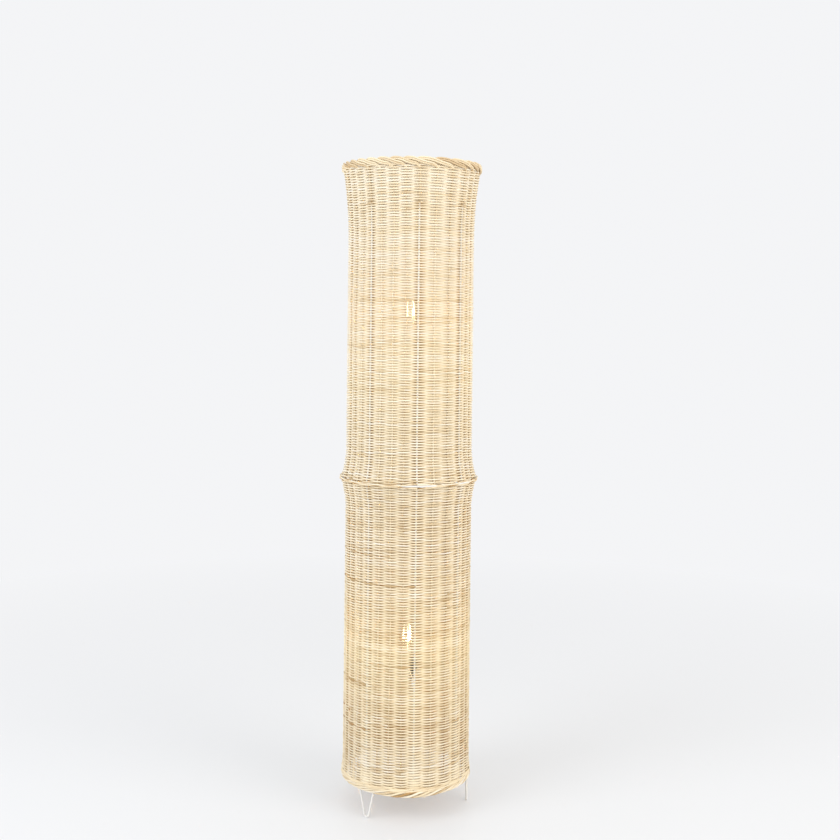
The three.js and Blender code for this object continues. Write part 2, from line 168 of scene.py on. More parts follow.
class TubeSizes(bpy.types.PropertyGroup):
    """Sizes of the woven tube"""

    stake_circle: metres("Stake circle", "Radius of the circle of stakes", 0.1358)
    node_swell: metres("Node swell", "How far the tube swells at the middle ring", 0.0098)
    node_reach: metres("Node reach", "Height over which the swelling fades out", 0.06)
    node_sharpness: FloatProperty(
        name="Node sharpness", description="How pointed the swelling is", default=1.4,
    )
    top_flare: metres("Top flare", "How far the tube opens out at its top", 0.0125)
    top_flare_reach: metres("Top flare reach", "Height over which the top opens out", 0.15)
    foot_flare: metres("Foot flare", "How far the tube opens out at its foot", 0.0018)
    foot_flare_reach: metres("Foot flare reach", "Height over which the foot opens out", 0.05)
    row_pitch: metres("Row pitch", "Height of one row of the weave", 0.00277)
    weaver_thickness: metres("Weaver thickness", "Thickness of the rods woven across", 0.0026)
    stake_thickness: metres("Stake thickness", "Thickness of the upright rattan stakes", 0.0035)
    wire_thickness: metres("Wire thickness", "Thickness of the steel wire of the frame", 0.004)
    row_waviness: metres("Row waviness", "How far the rows drift up and down", 0.0011)
    stake_drift: metres("Stake drift", "How far the rattan stakes wander to the side", 0.0012)


class Finishes(bpy.types.PropertyGroup):
    """Colours of the materials"""

    rattan_pale: tint("Pale rattan", "Lightest rods", (0.86, 0.79, 0.67))
    rattan_straw: tint("Straw rattan", "Most of the rods", (0.785, 0.656, 0.445))
    # Tan is also the colour of the painted shade behind the stakes and beside the wires
    rattan_tan: tint("Tan rattan", "Darkest rods", (0.42, 0.24, 0.08))
    paint: tint("Wire paint", "Powder coat on the wires", (0.755, 0.738, 0.705))
    case: tint("Lampholder case", "Moulded case of the lampholders", (0.02, 0.02, 0.02))
    glass: tint("Bulb glass", "Tint of the blown glass", (0.98, 0.97, 0.94))
    glow: tint("Glow", "Colour of the lit rods in the bulbs", (1.0, 0.78, 0.48))
    # Painted glow: colour that the rattan near the bulbs gives off itself, as if lit through from
    # inside
    painted_rod_glow: tint(
        "Glow of the wall", "Colour of the light that comes through the rods", (0.70, 0.74, 0.40),
    )


class StageLight(bpy.types.PropertyGroup):
    """Floor, background and light"""

    bulb_power: watts("Bulb power", "Light that each bulb gives", 0.5)
    daylight: FloatProperty(
        name="Daylight", description="Strength of the even light from all round", default=0.90,
    )
    key_power: watts("Key light", "Large soft light at the front left", 104)
    fill_power: watts("Fill light", "Large soft light at the front right", 82)
    floor: tint("Floor", "Colour of the floor", (0.70, 0.70, 0.70))
    backdrop: tint("Backdrop", "Colour behind the lamp", (0.905, 0.91, 0.925))


def sizes():
    return bpy.context.scene.lamp_sizes


def finishes():
    return bpy.context.scene.lamp_finishes


# Stakes and places on the tube


def limited(values):
    """Values kept between 0 and 1."""
    return np.clip(values, 0, 1)


def stake_line(z):
    """Radius of the circle of stakes at a height."""
    size = sizes()
    off_node = np.minimum(np.abs(z - MID_RING_Z) / size.node_reach, 1)
    into_top = np.maximum((z - WEAVE_TOP_Z) / size.top_flare_reach + 1, 0)
    into_foot = np.maximum((WEAVE_BASE_Z - z) / size.foot_flare_reach + 1, 0)
    return (
        size.stake_circle
        + size.node_swell * (1 - off_node) ** size.node_sharpness
        + size.top_flare * into_top**2
        + size.foot_flare * into_foot**2
    )


def wall_share(z):
    """0 at the foot of the woven wall and 1 at its top."""
    return (z - WEAVE_BASE_Z) / (WEAVE_TOP_Z - WEAVE_BASE_Z)


def near_rim(share):
    """0 in most of the wall and 1 close to its top, where the rods are thicker, and their crests
    are painted darker and the stretches behind them lighter so that light and shade there look
    even.
    """
    return limited((share - 0.84) / 0.1)


def list_stakes():
    """Turn of every stake in order round the tube, and whether it is a wire."""
    bay = TAU / len(BAY_STAKES)
    turns, wires = [], []
    for k, rattan_stakes in enumerate(BAY_STAKES):
        for i in range(rattan_stakes + 1):
            turns.append(FIRST_TURN + bay * (k + i / (rattan_stakes + 1)))
            wires.append(i == 0)
    return np.array(turns), np.array(wires)


STAKE_TURNS, STAKE_IS_WIRE = list_stakes()
STAKE_COUNT = len(STAKE_TURNS)
ODD = np.random.default_rng(31)
DRIFT_SHARE = np.where(STAKE_IS_WIRE, 0, ODD.uniform(0.3, 1, STAKE_COUNT))
DRIFT_WAVE = ODD.uniform(0.24, 0.55, STAKE_COUNT)
DRIFT_PHASE = ODD.uniform(0, TAU, STAKE_COUNT)


def stake_turn(index, z):
    """Turn of a stake at a height. The index goes on counting past one turn of the tube."""
    one = index % STAKE_COUNT
    drift = DRIFT_SHARE[one] * np.sin(TAU * z / DRIFT_WAVE[one] + DRIFT_PHASE[one])
    turns = STAKE_TURNS[one] + TAU * (index // STAKE_COUNT)
    return turns + drift * sizes().stake_drift / sizes().stake_circle


def place_between(along, z):
    """Turn at a share of the way from stake to stake, measured in stakes."""
    index = np.floor(along).astype(int)
    share = along - index
    return stake_turn(index, z) * (1 - share) + stake_turn(index + 1, z) * share


def on_circle(turn, radius, z):
    """Row of points round the axis. Turn, radius and height are one value or one per point."""
    turn, radius, z = np.broadcast_arrays(turn, radius, z)
    return np.stack([radius * np.cos(turn), radius * np.sin(turn), z], axis=1)


def at(radius, turn, z):
    """One point at a radius, turn and height."""
    return Vector((radius * math.cos(turn), radius * math.sin(turn), z))


def from_front(turn):
    """Degrees from the front of the lamp, from -180 to 180."""
    return (np.degrees(turn + math.pi / 2) + 180) % 360 - 180


def ring_radius(place):
    """Radius of the middle line of a frame ring."""
    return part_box(f"{place}_ring")[1].x - sizes().wire_thickness / 2


# Objects and meshes


def added(name, data):
    """New object in the scene."""
    made = bpy.data.objects.new(name, data)
    bpy.context.scene.collection.objects.link(made)
    return made


def new_piece(mesh, material, replaced=(), body="frame"):
    """Object with the mesh's name, which rides on a body and stands for CAD nodes."""
    made = added(mesh.name, mesh)
    mesh.materials.append(material)
    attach(made, body)
    if replaced:
        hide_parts(*replaced)
    return made


def turned_piece(name, profile, steps, z, material, slot, replaced, body="frame", **shape):
    """Piece that is turned from a profile, of a hard material."""
    mesh = turned(name, profile, steps, z, **shape)
    return new_piece(mesh, hard(material), [replaced], body)


def recoated(node_name, material):
    """Gives a material to a CAD node that stays in the scene."""
    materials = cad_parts[node_name].data.materials
    materials.clear()
    materials.append(hard(material))


def outward_of(points):
    """Horizontal unit vectors from the lamp's axis to the points."""
    flat = points * np.array([1, 1, 0])
    return flat / np.maximum(np.linalg.norm(flat, axis=1, keepdims=True), 1e-9)


class Strands:
    """Rods that run along paths, each a closed tube with a place in the unrolled rod and a tone."""

    def __init__(self):
        self.centres, self.across, self.upright = [], [], []
        self.tones, self.hints = [], []

    def add(self, points, across, upright=None, tone=0.5, hint=None):
        """Adds one rod. It is as thick as across says outward, and hint points to that side."""
        count = len(points)
        self.centres.append(points)
        self.across.append(np.broadcast_to(across, count) / 2)
        self.upright.append(np.broadcast_to(across if upright is None else upright, count) / 2)
        self.tones.append(np.broadcast_to(tone, count))
        self.hints.append(outward_of(points) if hint is None else np.broadcast_to(hint, (count, 3)))

    def mesh(self, name, sides):
        """One mesh of all the rods."""
        counts = np.array([len(points) for points in self.centres])
        first = np.concatenate([[0], np.cumsum(counts)[:-1]])
        last = first + counts - 1
        centre = np.concatenate(self.centres)
        total = len(centre)
        before = np.maximum(np.arange(total) - 1, np.repeat(first, counts))
        after = np.minimum(np.arange(total) + 1, np.repeat(last, counts))
        tangent = unit(centre[after] - centre[before])
        hint = np.concatenate(self.hints)
        out = unit(hint - tangent * np.sum(hint * tangent, axis=1, keepdims=True))
        side = np.cross(tangent, out)
        turn = TAU * (np.arange(sides) + 0.5) / sides
        half_out = np.concatenate(self.across)[:, None] * np.cos(turn)
        half_side = np.concatenate(self.upright)[:, None] * np.sin(turn)
        points = (
            centre[:, None, :]
            + half_out[:, :, None] * out[:, None, :]
            + half_side[:, :, None] * side[:, None, :]
        ).reshape(-1, 3)
        step = np.linalg.norm(centre - centre[before], axis=1)
        run = np.cumsum(step) + 0.37 * np.repeat(np.arange(len(counts)), counts)
        linked = np.setdiff1d(np.arange(total), last)
        around = np.arange(sides)
        beside = (around + 1) % sides
        quads = np.stack([
            linked[:, None] * sides + around,
            linked[:, None] * sides + beside,
            (linked[:, None] + 1) * sides + beside,
            (linked[:, None] + 1) * sides + around,
        ], axis=2).reshape(-1, 4)
        caps = np.concatenate([
            first[:, None] * sides + around[::-1],
            last[:, None] * sides + around,
        ])
        mesh = plain_mesh(name, points, [quads, caps])
        unrolled = np.stack([
            np.repeat(run, sides), half_out.ravel(), half_side.ravel(),
        ], axis=1)
        place = mesh.attributes.new("strand", "FLOAT_VECTOR", "POINT")
        place.data.foreach_set("vector", unrolled.astype(np.float32).ravel())
        # The tone holds each rod's natural tone with any painted shade and light added to it
        tone = mesh.attributes.new("tone", "FLOAT", "POINT")
        tones = np.repeat(np.concatenate(self.tones), sides)
        tone.data.foreach_set("value", tones.astype(np.float32))
        lay_out_strands(mesh, linked, sides, len(caps))
        return mesh


def unit(vectors):
    return vectors / np.maximum(np.linalg.norm(vectors, axis=1, keepdims=True), 1e-12)


def plain_mesh(name, points, faces):
    """Smooth mesh from an array of points and arrays of faces with the same corner count."""
    mesh = bpy.data.meshes.new(name)
    corners = np.concatenate([group.ravel() for group in faces])
    counts = np.concatenate([np.full(len(group), group.shape[1]) for group in faces])
    starts = np.concatenate([[0], np.cumsum(counts)[:-1]])
    mesh.vertices.add(len(points))
    mesh.vertices.foreach_set("co", points.astype(np.float32).ravel())
    mesh.loops.add(len(corners))
    mesh.loops.foreach_set("vertex_index", corners.astype(np.int32))
    mesh.polygons.add(len(counts))
    mesh.polygons.foreach_set("loop_start", starts.astype(np.int32))
    mesh.update(calc_edges=True)
    mesh.polygons.foreach_set("use_smooth", np.ones(len(counts), dtype=bool))
    mesh.update()
    return mesh


def lay_out_strands(mesh, linked, sides, cap_count):
    """Map for baking: the rods lie unrolled in rows, and their end faces fill the last row."""
    count = len(linked)
    rows = max(2, int(math.sqrt(count * 0.8)) + 1)
    per_row = math.ceil(count / (rows - 1))
    row, column = np.divmod(np.arange(count), per_row)
    margin, spread = 0.12, 0.76
    left = column / per_row
    right = (column + 1) / per_row
    around = np.arange(sides)
    low = (row[:, None] + margin + spread * around / sides) / rows
    high = (row[:, None] + margin + spread * (around + 1) / sides) / rows
    left, right = left[:, None] + 0 * low, right[:, None] + 0 * low
    corners = np.stack([left, low, left, high, right, high, right, low], axis=2)
    cell = np.arange(cap_count)[:, None]
    turn = TAU * around / sides
    cap_x = (cell + 0.5 + 0.35 * np.cos(turn)) / cap_count
    cap_y = (rows - 0.5 + 0.35 * np.sin(turn)) / rows
    ends = np.stack([cap_x, cap_y + 0 * cap_x], axis=2)
    places = np.concatenate([corners.ravel(), ends.ravel()]).astype(np.float32)
    mesh.uv_layers.new(name="OFBake").uv.foreach_set("vector", places)


def rounded(profile, radius):
    """Closed profile with each corner turned into a short arc."""
    made = []
    for i, corner in enumerate(profile):
        here = Vector(corner)
        back = Vector(profile[i - 1]) - here
        ahead = Vector(profile[(i + 1) % len(profile)]) - here
        reach = min(radius, back.length * 0.45, ahead.length * 0.45)
        start, end = here + back.normalized() * reach, here + ahead.normalized() * reach
        for share in (0, 0.33, 0.67, 1):
            bend = start * (1 - share) ** 2 + here * 2 * share * (1 - share) + end * share**2
            made.append(tuple(bend))
    return made


def turned(name, profile, steps, z, closed=True, wave=None, sharp=40):
    """Turned mesh about the Z axis. wave changes the radius by turn and height."""
    count = len(profile)
    turns = TAU * np.arange(steps) / steps
    radius = np.array([point[0] for point in profile])[:, None] + 0 * turns
    height = np.array([point[1] for point in profile])[:, None] + 0 * turns
    turn = turns[None, :] + 0 * radius
    if wave:
        radius = wave(radius, height, turn)
    points = np.stack([radius * np.cos(turn), radius * np.sin(turn), height + z], axis=2)
    i = np.arange(count if closed else count - 1)[:, None]
    j = np.arange(steps)[None, :]
    following, beside = (i + 1) % count, (j + 1) % steps
    quads = np.stack([
        i * steps + j, i * steps + beside, following * steps + beside, following * steps + j,
    ], axis=2).reshape(-1, 4)
    mesh = plain_mesh(name, points.reshape(-1, 3), [quads])
    return welded(mesh, sharp)


def welded(mesh, sharp):
    """Doubles become one vertex, faces point out and only edges up to the angle are smooth."""
    shape = bmesh.new()
    shape.from_mesh(mesh)
    bmesh.ops.remove_doubles(shape, verts=shape.verts, dist=1e-6)
    bmesh.ops.dissolve_degenerate(shape, edges=shape.edges, dist=1e-7)
    bmesh.ops.recalc_face_normals(shape, faces=shape.faces)
    shape.to_mesh(mesh)
    shape.free()
    mesh.set_sharp_from_angle(angle=math.radians(sharp))
    return mesh


# Shader node groups and materials


def link(tree, start, end):
    tree.links.new(start, end)


def node(tree, kind, **inputs):
    """Shader node with values for its inputs, by name with _ for a space."""
    made = tree.nodes.new(kind)
    for name, value in inputs.items():
        made.inputs[name.replace("_", " ")].default_value = value
    return made


def new_group(name, inputs, colours, numbers):
    """Empty node group with named sockets. Gives the group, its inputs and its outputs."""
    group = bpy.data.node_groups.new(name, "ShaderNodeTree")
    colour_kind, number_kind = "NodeSocketColor", "NodeSocketFloat"
    for socket, value in inputs.items():
        kind = number_kind if isinstance(value, float) else colour_kind
        made = group.interface.new_socket(name=socket, in_out="INPUT", socket_type=kind)
        made.default_value = value
    for sockets, kind in ((colours, colour_kind), (numbers, number_kind)):
        for socket in sockets:
            group.interface.new_socket(name=socket, in_out="OUTPUT", socket_type=kind)
    given = group.nodes.new("NodeGroupInput").outputs
    return group, given, group.nodes.new("NodeGroupOutput").inputs


def maths(tree, operation, *values, clamp=False):
    """Maths node, whose inputs are sockets or plain numbers."""
    made = tree.nodes.new("ShaderNodeMath")
    made.operation, made.use_clamp = operation, clamp
    for socket, value in zip(made.inputs, values):
        if isinstance(value, (int, float)):
            socket.default_value = value
        else:
            link(tree, value, socket)
    return made.outputs[0]


def vector_maths(tree, operation, vector):
    """Vector maths node that works on one socket."""
    made = tree.nodes.new("ShaderNodeVectorMath")
    made.operation = operation
    link(tree, vector, made.inputs[0])
    return made


def mixed(tree, share, first, second):
    """Mix of two colours by a socket."""
    made = tree.nodes.new("ShaderNodeMix")
    made.data_type = "RGBA"
    link(tree, share, made.inputs["Factor"])
    for name, value in (("A", first), ("B", second)):
        socket = [s for s in made.inputs if s.name == name and s.type == "RGBA"][0]
        link(tree, value, socket)
    return [s for s in made.outputs if s.type == "RGBA"][0]


def ranged(tree, value, low, high, to_low=0.0, to_high=1.0):
    """Value moved from one range to another."""
    made = node(tree, "ShaderNodeMapRange", From_Min=low, From_Max=high, To_Min=to_low,
                To_Max=to_high)
    link(tree, value, made.inputs["Value"])
    return made.outputs["Result"]


def strand_noise(tree, vector, scale, detail=2.0, roughness=0.55):
    """Noise on the unrolled rods, with a scale along and two scales across."""
    place = vector_maths(tree, "MULTIPLY", vector)
    place.inputs[1].default_value = scale
    made = node(tree, "ShaderNodeTexNoise", Scale=1.0, Detail=detail, Roughness=roughness)
    link(tree, place.outputs[0], made.inputs["Vector"])
    return made.outputs["Fac"]


def attribute(tree, name):
    made = tree.nodes.new("ShaderNodeAttribute")
    made.attribute_name = name
    return made.outputs


def rattan_group():
    """Colour, roughness and height of a rattan rod: fibres along it, blotches, its tone with
    painted shade and painted light in it, and painted glow near the bulbs.
    """
    group, given, result = new_group(
        "Rattan rod",
        {"Pale": WHITE, "Straw": WHITE, "Tan": WHITE, "Tone shift": 0.0, "Fibre depth": 1.0,
         "Glow": WHITE},
        ("Color", "Glow"), ("Roughness", "Height"),
    )
    vector = attribute(group, "strand")["Vector"]
    fibres = strand_noise(group, vector, (28, 2600, 2600), 3.0, 0.6)
    blotches = strand_noise(group, vector, (9, 120, 120))
    specks = strand_noise(group, vector, (160, 900, 900))
    drift = ranged(group, blotches, 0.3, 0.7, -0.18, 0.18)
    grain = ranged(group, fibres, 0.3, 0.72, 0.14, -0.14)
    # The tone attribute and the tone shift hold painted shade and painted light as well as the
    # rod's natural tone
    tone_and_painted_shade = maths(group, "ADD", attribute(group, "tone")["Fac"], given["Tone shift"])
    shade = maths(group, "ADD", maths(group, "ADD", tone_and_painted_shade, drift), grain)
    # Pale up to a shade of 0, straw at 0.5 and tan from 1 on
    pale_to_straw = maths(group, "MULTIPLY", shade, 2.0, clamp=True)
    straw_to_tan = maths(group, "MULTIPLY_ADD", shade, 2.0, -1.0, clamp=True)
    colour = mixed(group, pale_to_straw, given["Pale"], given["Straw"])
    colour = mixed(group, straw_to_tan, colour, given["Tan"])
    speck_share = maths(group, "MULTIPLY", ranged(group, specks, 0.68, 0.8), 0.25)
    link(group, mixed(group, speck_share, colour, given["Tan"]), result["Color"])
    link(group, ranged(group, fibres, 0.3, 0.7, 0.46, 0.66), result["Roughness"])
    link(group, maths(group, "MULTIPLY", fibres, given["Fibre depth"]), result["Height"])
    # Painted glow near the bulbs, which the rods give off as emission
    link(group, painted_glow_near_bulbs(group, given["Glow"]), result["Glow"])
    return group


def painted_glow_near_bulbs(group, colour):
    """Painted glow: colour that the rods give off themselves near the bulbs, in place of light
    coming through them, fading away from the bulbs.
    """
    place = group.nodes.new("ShaderNodeTexCoord").outputs["Object"]
    split = group.nodes.new("ShaderNodeSeparateXYZ")
    link(group, place, split.inputs[0])
    shares = []
    for middle, reach, most in ((0.345, 0.24, 1.0), (0.95, 0.30, 0.55)):
        away = maths(group, "SUBTRACT", split.outputs["Z"], middle)
        near = ranged(group, maths(group, "ABSOLUTE", away), 0.0, reach, most, 0.0)
        shares.append(maths(group, "POWER", near, 1.6))
    made = vector_maths(group, "SCALE", colour)
    link(group, maths(group, "ADD", *shares), made.inputs["Scale"])
    return made.outputs[0]


def surface_group():
    """Colour, roughness and height of a hard surface: cloudy tone, fine texture and dull spots."""
    group, given, result = new_group(
        "Hard surface",
        {"Color": WHITE, "Worn color": WHITE, "Cloud scale": 40.0, "Grain scale": 900.0,
         "Wear": 0.3, "Smooth": 0.3, "Rough": 0.5},
        ("Color",), ("Roughness", "Height"),
    )
    place = group.nodes.new("ShaderNodeTexCoord").outputs["Object"]

    def cloud(scale_socket, detail):
        made = node(group, "ShaderNodeTexNoise", Detail=detail, Roughness=0.6)
        link(group, place, made.inputs["Vector"])
        link(group, given[scale_socket], made.inputs["Scale"])
        return made.outputs["Fac"]

    clouds, grain = cloud("Cloud scale", 4.0), cloud("Grain scale", 2.0)
    worn = maths(group, "MULTIPLY", ranged(group, clouds, 0.42, 0.68), given["Wear"])
    link(group, mixed(group, worn, given["Color"], given["Worn color"]), result["Color"])
    spread = maths(group, "SUBTRACT", given["Rough"], given["Smooth"])
    mask = maths(group, "ADD", maths(group, "MULTIPLY", clouds, 0.6),
                 maths(group, "MULTIPLY", grain, 0.4))
    level = maths(group, "MULTIPLY", mask, spread)
    link(group, maths(group, "ADD", level, given["Smooth"]), result["Roughness"])
    link(group, grain, result["Height"])
    return group


def new_material(name, group, make_group, values, bump, plain):
    """Principled material whose colour, roughness and bump come from a node group."""
    material = bpy.data.materials.get(name)
    if material:
        return material
    material = bpy.data.materials.new(name)
    material.use_nodes = True
    tree = material.node_tree
    shader = tree.nodes["Principled BSDF"]
    source = tree.nodes.new("ShaderNodeGroup")
    source.node_tree = bpy.data.node_groups.get(group) or make_group()
    for socket, value in values.items():
        source.inputs[socket].default_value = value
    feeds = {"Color": "Base Color", "Roughness": "Roughness", "Glow": "Emission Color"}
    for start, end in feeds.items():
        if start in source.outputs:
            link(tree, source.outputs[start], shader.inputs[end])
    if bump:
        relief = node(tree, "ShaderNodeBump", Strength=0.5, Distance=bump)
        link(tree, source.outputs["Height"], relief.inputs["Height"])
        link(tree, relief.outputs["Normal"], shader.inputs["Normal"])
    for socket, value in plain.items():
        shader.inputs[socket].default_value = value
    return material


def rattan(name, tone_shift=0.0, fibre_depth=1.0):
    """Rattan of one kind of rod."""
    look = finishes()
    # The rods give off the painted glow at an emission strength of 0.1
    return new_material(name, "Rattan rod", rattan_group, {
        "Pale": (*look.rattan_pale, 1), "Straw": (*look.rattan_straw, 1),
        "Tan": (*look.rattan_tan, 1), "Tone shift": tone_shift, "Fibre depth": fibre_depth,
        "Glow": (*look.painted_rod_glow, 1),
    }, 0.25 * MM, {"Specular IOR Level": 0.35, "Emission Strength": 0.1})


def hard(name):
    """Material of a hard surface. Its row gives colour, worn colour and how much of it shows,
    least and most roughness, scale of the clouds and of the grain, height of the grain in
    millimetres, and what the shader needs besides."""
    look = finishes()
    haze = [0.93 * part for part in look.glass]
    metal, glass = {"Metallic": 1.0}, {"Transmission Weight": 1.0, "IOR": 1.45}
    lit = {"Emission Strength": 16.0, "Emission Color": (*look.glow, 1)}
    colour, worn, wear, smooth, rough, clouds, grain, height, plain = {
        "painted_wire": (look.paint, (0.70, 0.66, 0.58), 0.22, 0.3, 0.5, 60, 1400, 0.03,
                         {"Coat Weight": 0.15}),
        "black_case": (look.case, (0.07, 0.065, 0.06), 0.5, 0.25, 0.45, 90, 1800, 0.02, {}),
        "nickel": ((0.70, 0.69, 0.67), (0.48, 0.46, 0.42), 0.5, 0.18, 0.4, 140, 1500, 0.02, metal),
        "brass": ((0.72, 0.56, 0.28), (0.42, 0.28, 0.12), 0.5, 0.22, 0.45, 120, 1500, 0.02, metal),
        "ceramic": ((0.85, 0.83, 0.79), (0.66, 0.61, 0.52), 0.4, 0.35, 0.6, 100, 1600, 0.03, {}),
        "black_glass": ((0.015, 0.015, 0.018), (0.05, 0.05, 0.05), 0.3, 0.06, 0.2, 90, 900, 0.01,
                        {}),
        "clear_glass": (look.glass, haze, 0.5, 0.01, 0.06, 25, 300, 0, glass),
        "lit_rods": ((1.0, 0.80, 0.45), (0.95, 0.66, 0.30), 0.6, 0.4, 0.6, 400, 2500, 0.02, lit),
    }[name]
    return new_material(name, "Hard surface", surface_group, {
        "Color": (*colour, 1), "Worn color": (*worn, 1), "Wear": wear, "Smooth": smooth,
        "Rough": rough, "Cloud scale": clouds, "Grain scale": grain,
    }, height * MM, plain)


# Woven wall


class Spiral:
    """The rows of one half of the wall, one long spiral that is measured in stakes passed."""

    def __init__(self, low, high, phase):
        turns = 2 * round(((high - low) / sizes().row_pitch - 1) / 2) + 1
        self.pitch = (high - low) / turns
        self.start = STAKE_COUNT // 2 + 1
        self.half = self.start + turns // 2 * STAKE_COUNT
        self.end = self.start + turns * STAKE_COUNT
        self.low = low - self.start * self.pitch / STAKE_COUNT
        self.phase = phase

    def height(self, along):
        return self.low + along / STAKE_COUNT * self.pitch

    def samples(self, begin, until):
        """Places along a rod, more of them where the rods part."""
        fine = PARTED_PLACES
        along = np.arange(begin * fine, until * fine + 1) / fine
        z = self.height(along)
        parted = opened(place_between(along, z), z) > 0.03
        return along[parted | (along * PLACES % 1 == 0)]


def weave(luck, spiral, begin, until):
    """Rods from one place to another in the spiral."""
    strands = Strands()
    place = begin
    while place < until:
        end, darker = cut_rod(luck, spiral, place, until)
        add_rod(strands, luck, spiral, place, end, darker)
        place = end
    return strands


def cut_rod(luck, spiral, place, until):
    """End of the rod that starts at a place, and whether the rod is a darker one. It ends behind
    a stake, where the end doesn't show, or goes on to the end of the weave if that is near."""
    reach = int(luck.uniform(*ROD_LENGTH) * STAKE_COUNT)
    darker = luck.random() < DARKER_SHARE
    if darker:
        reach = int(luck.uniform(*DARKER_LENGTH) * STAKE_COUNT)
    reach += (place + reach + spiral.phase) % 2
    end = min(place + reach, until)
    return (until if until - end < STAKE_COUNT // 4 else end), darker


def add_rod(strands, luck, spiral, place, end, darker):
    """Adds a rod that passes in front of every second stake and behind the ones between."""
    size = sizes()
    along = spiral.samples(place, end)
    knots = np.arange(place, end + 2)
    lift, press = (
        np.interp(along, knots, luck.normal(usual, spread, len(knots)))
        for usual, spread in ((0, ROD_LIFT), (1, ROD_PRESS))
    )
    thickness = size.weaver_thickness * luck.uniform(0.93, 1.03)
    z = spiral.height(along)
    up = (z - WEAVE_BASE_Z) / FOOT_PACKING_Z
    z = z - FOOT_PACKING * up * np.exp(1 - up)
    turn = place_between(along, z)
    z = z + lift + row_drift(turn, z)
    share = wall_share(z.mean())
    tone = 0.49 - 0.26 * share + 0.07 * near_rim(share) + luck.normal(0, 0.09)
    if darker:
        extra = luck.uniform(0.05, 0.2)
        # Every third of them is tan, most clearly low on the wall
        tone += extra + 0.2 * (extra > 0.15) * (1 - share)

    stake = np.round(along).astype(int)
    at_wire = STAKE_IS_WIRE[stake % STAKE_COUNT]
    swing = np.cos(math.pi * (along + spiral.phase))
    front, behind = limited(swing), limited(-swing)
    near_ring = limited((12 * MM - np.abs(z - MID_RING_Z)) / (6 * MM))
    crest = (size.stake_thickness + size.weaver_thickness) / 2
    radius = stake_line(z) + crest * press * swing + 1.5 * MM * near_ring * front

    # The rods are pressed flat at the stakes, and thinner where the light shows through
    parted, thin = opened(turn, z), foot_patch(turn, z)
    at_foot = limited((FULL_FOOT_Z - z) / FULL_FOOT_FADE)
    upright = thickness * (1.12 + 0.12 * np.abs(swing) + at_wire * front * (0.6 - 0.85 * share))
    upright = upright * (1 + near_rim(share) * (0.08 + 0.22 * front))
    upright = upright * (1 - 0.36 * parted) * (1 + 0.22 * at_foot)

    # Painted shade: the stretches behind the stakes are painted darker, as shade falls in them,
    # most of all low on the wall and at the wires
    shade = (0.66 - 0.84 * share + 0.38 * at_wire) * behind
    shade = shade + 0.6 * share * at_wire * behind**4 * (z < TOP_RING_Z)
    # Painted light: close to the rim the crests are painted darker and the stretches behind
    # lighter, and in the patch near the foot the rods are painted lighter where light shows through
    shade = shade + near_rim(share) * (0.15 * front - 0.3 * behind)
    shade = shade * (1 - 0.45 * thin) - 0.1 * thin

    tight = (1 - 0.3 * thin) * (1 - np.minimum(parted, 1))
    z = z + (z - EYE_Z) * LEAN * behind * tight
    # The rows open round the ends of the wires, above the top ring, and are painted darker there as
    # painted shade in the openings
    above = z - WIRE_END_Z
    at_end = at_wire * limited(1 - np.abs(above) / (9 * MM))
    z = z + np.sign(above) * 1.5 * MM * at_end * np.exp(-((along - stake) / 0.3) ** 2)
    strands.add(on_circle(turn, radius, z), thickness, upright, tone + shade + 0.35 * at_end)


def opened(turn, z):
    """How far the rods part in front of the bulbs and of the lower lampholder."""
    degrees = from_front(turn)
    return sum(
        most * np.exp(-(((degrees - aside) / wide) ** 2) - ((z - middle) / tall) ** 2)
        for most, aside, wide, middle, tall in WINDOWS
    )


def foot_patch(turn, z):
    """1 in the patch near the foot where the light shows through the rows, 0 elsewhere."""
    aside = (from_front(turn) - PATCH_ASIDE) / PATCH_WIDE
    return np.exp(-(aside**6) - ((z - PATCH_Z) / PATCH_TALL) ** 6)


def row_drift(turn, z):
    """Slow rise and fall of the rows, none at the ends of the wall and at the middle ring."""
    wave = (
        np.sin(turn * 2 + z * 21 + 0.4)
        + 0.7 * np.sin(turn * 3 - z * 34 + 2.1)
        + 0.5 * np.sin(turn * 5 + z * 55 + 4.4)
    )
    ends = np.min([np.abs(z - end) for end in (MID_RING_Z, WEAVE_TOP_Z, WEAVE_BASE_Z)], axis=0)
    return sizes().row_waviness * wave / 2.2 * limited(ends / 0.05)


def rattan_stakes():
    """Rattan stakes from the border to the rim, and short ones above the ends of the wires."""
    luck = np.random.default_rng(11)
    strands = Strands()
    for i in range(STAKE_COUNT):
        base = WIRE_END_Z if STAKE_IS_WIRE[i] else BORDER_Z
        z = np.arange(base, WEAVE_TOP_Z + 6 * MM, 9 * MM)
        thickness = sizes().stake_thickness * luck.uniform(0.94, 1.04)
        share = wall_share(z)
        tone = luck.uniform(0.4, 0.7) - 0.4 * share + 0.25 * near_rim(share)
        strands.add(on_circle(stake_turn(i, z), stake_line(z), z), thickness, tone=tone)
    # The stakes are painted darker with a tone shift of 0.3, as painted shade where they show
    # between the rods
    new_piece(strands.mesh("rattan_stakes", 8), rattan("rattan_stakes", 0.3),
              ["lower_weave", "upper_weave"])


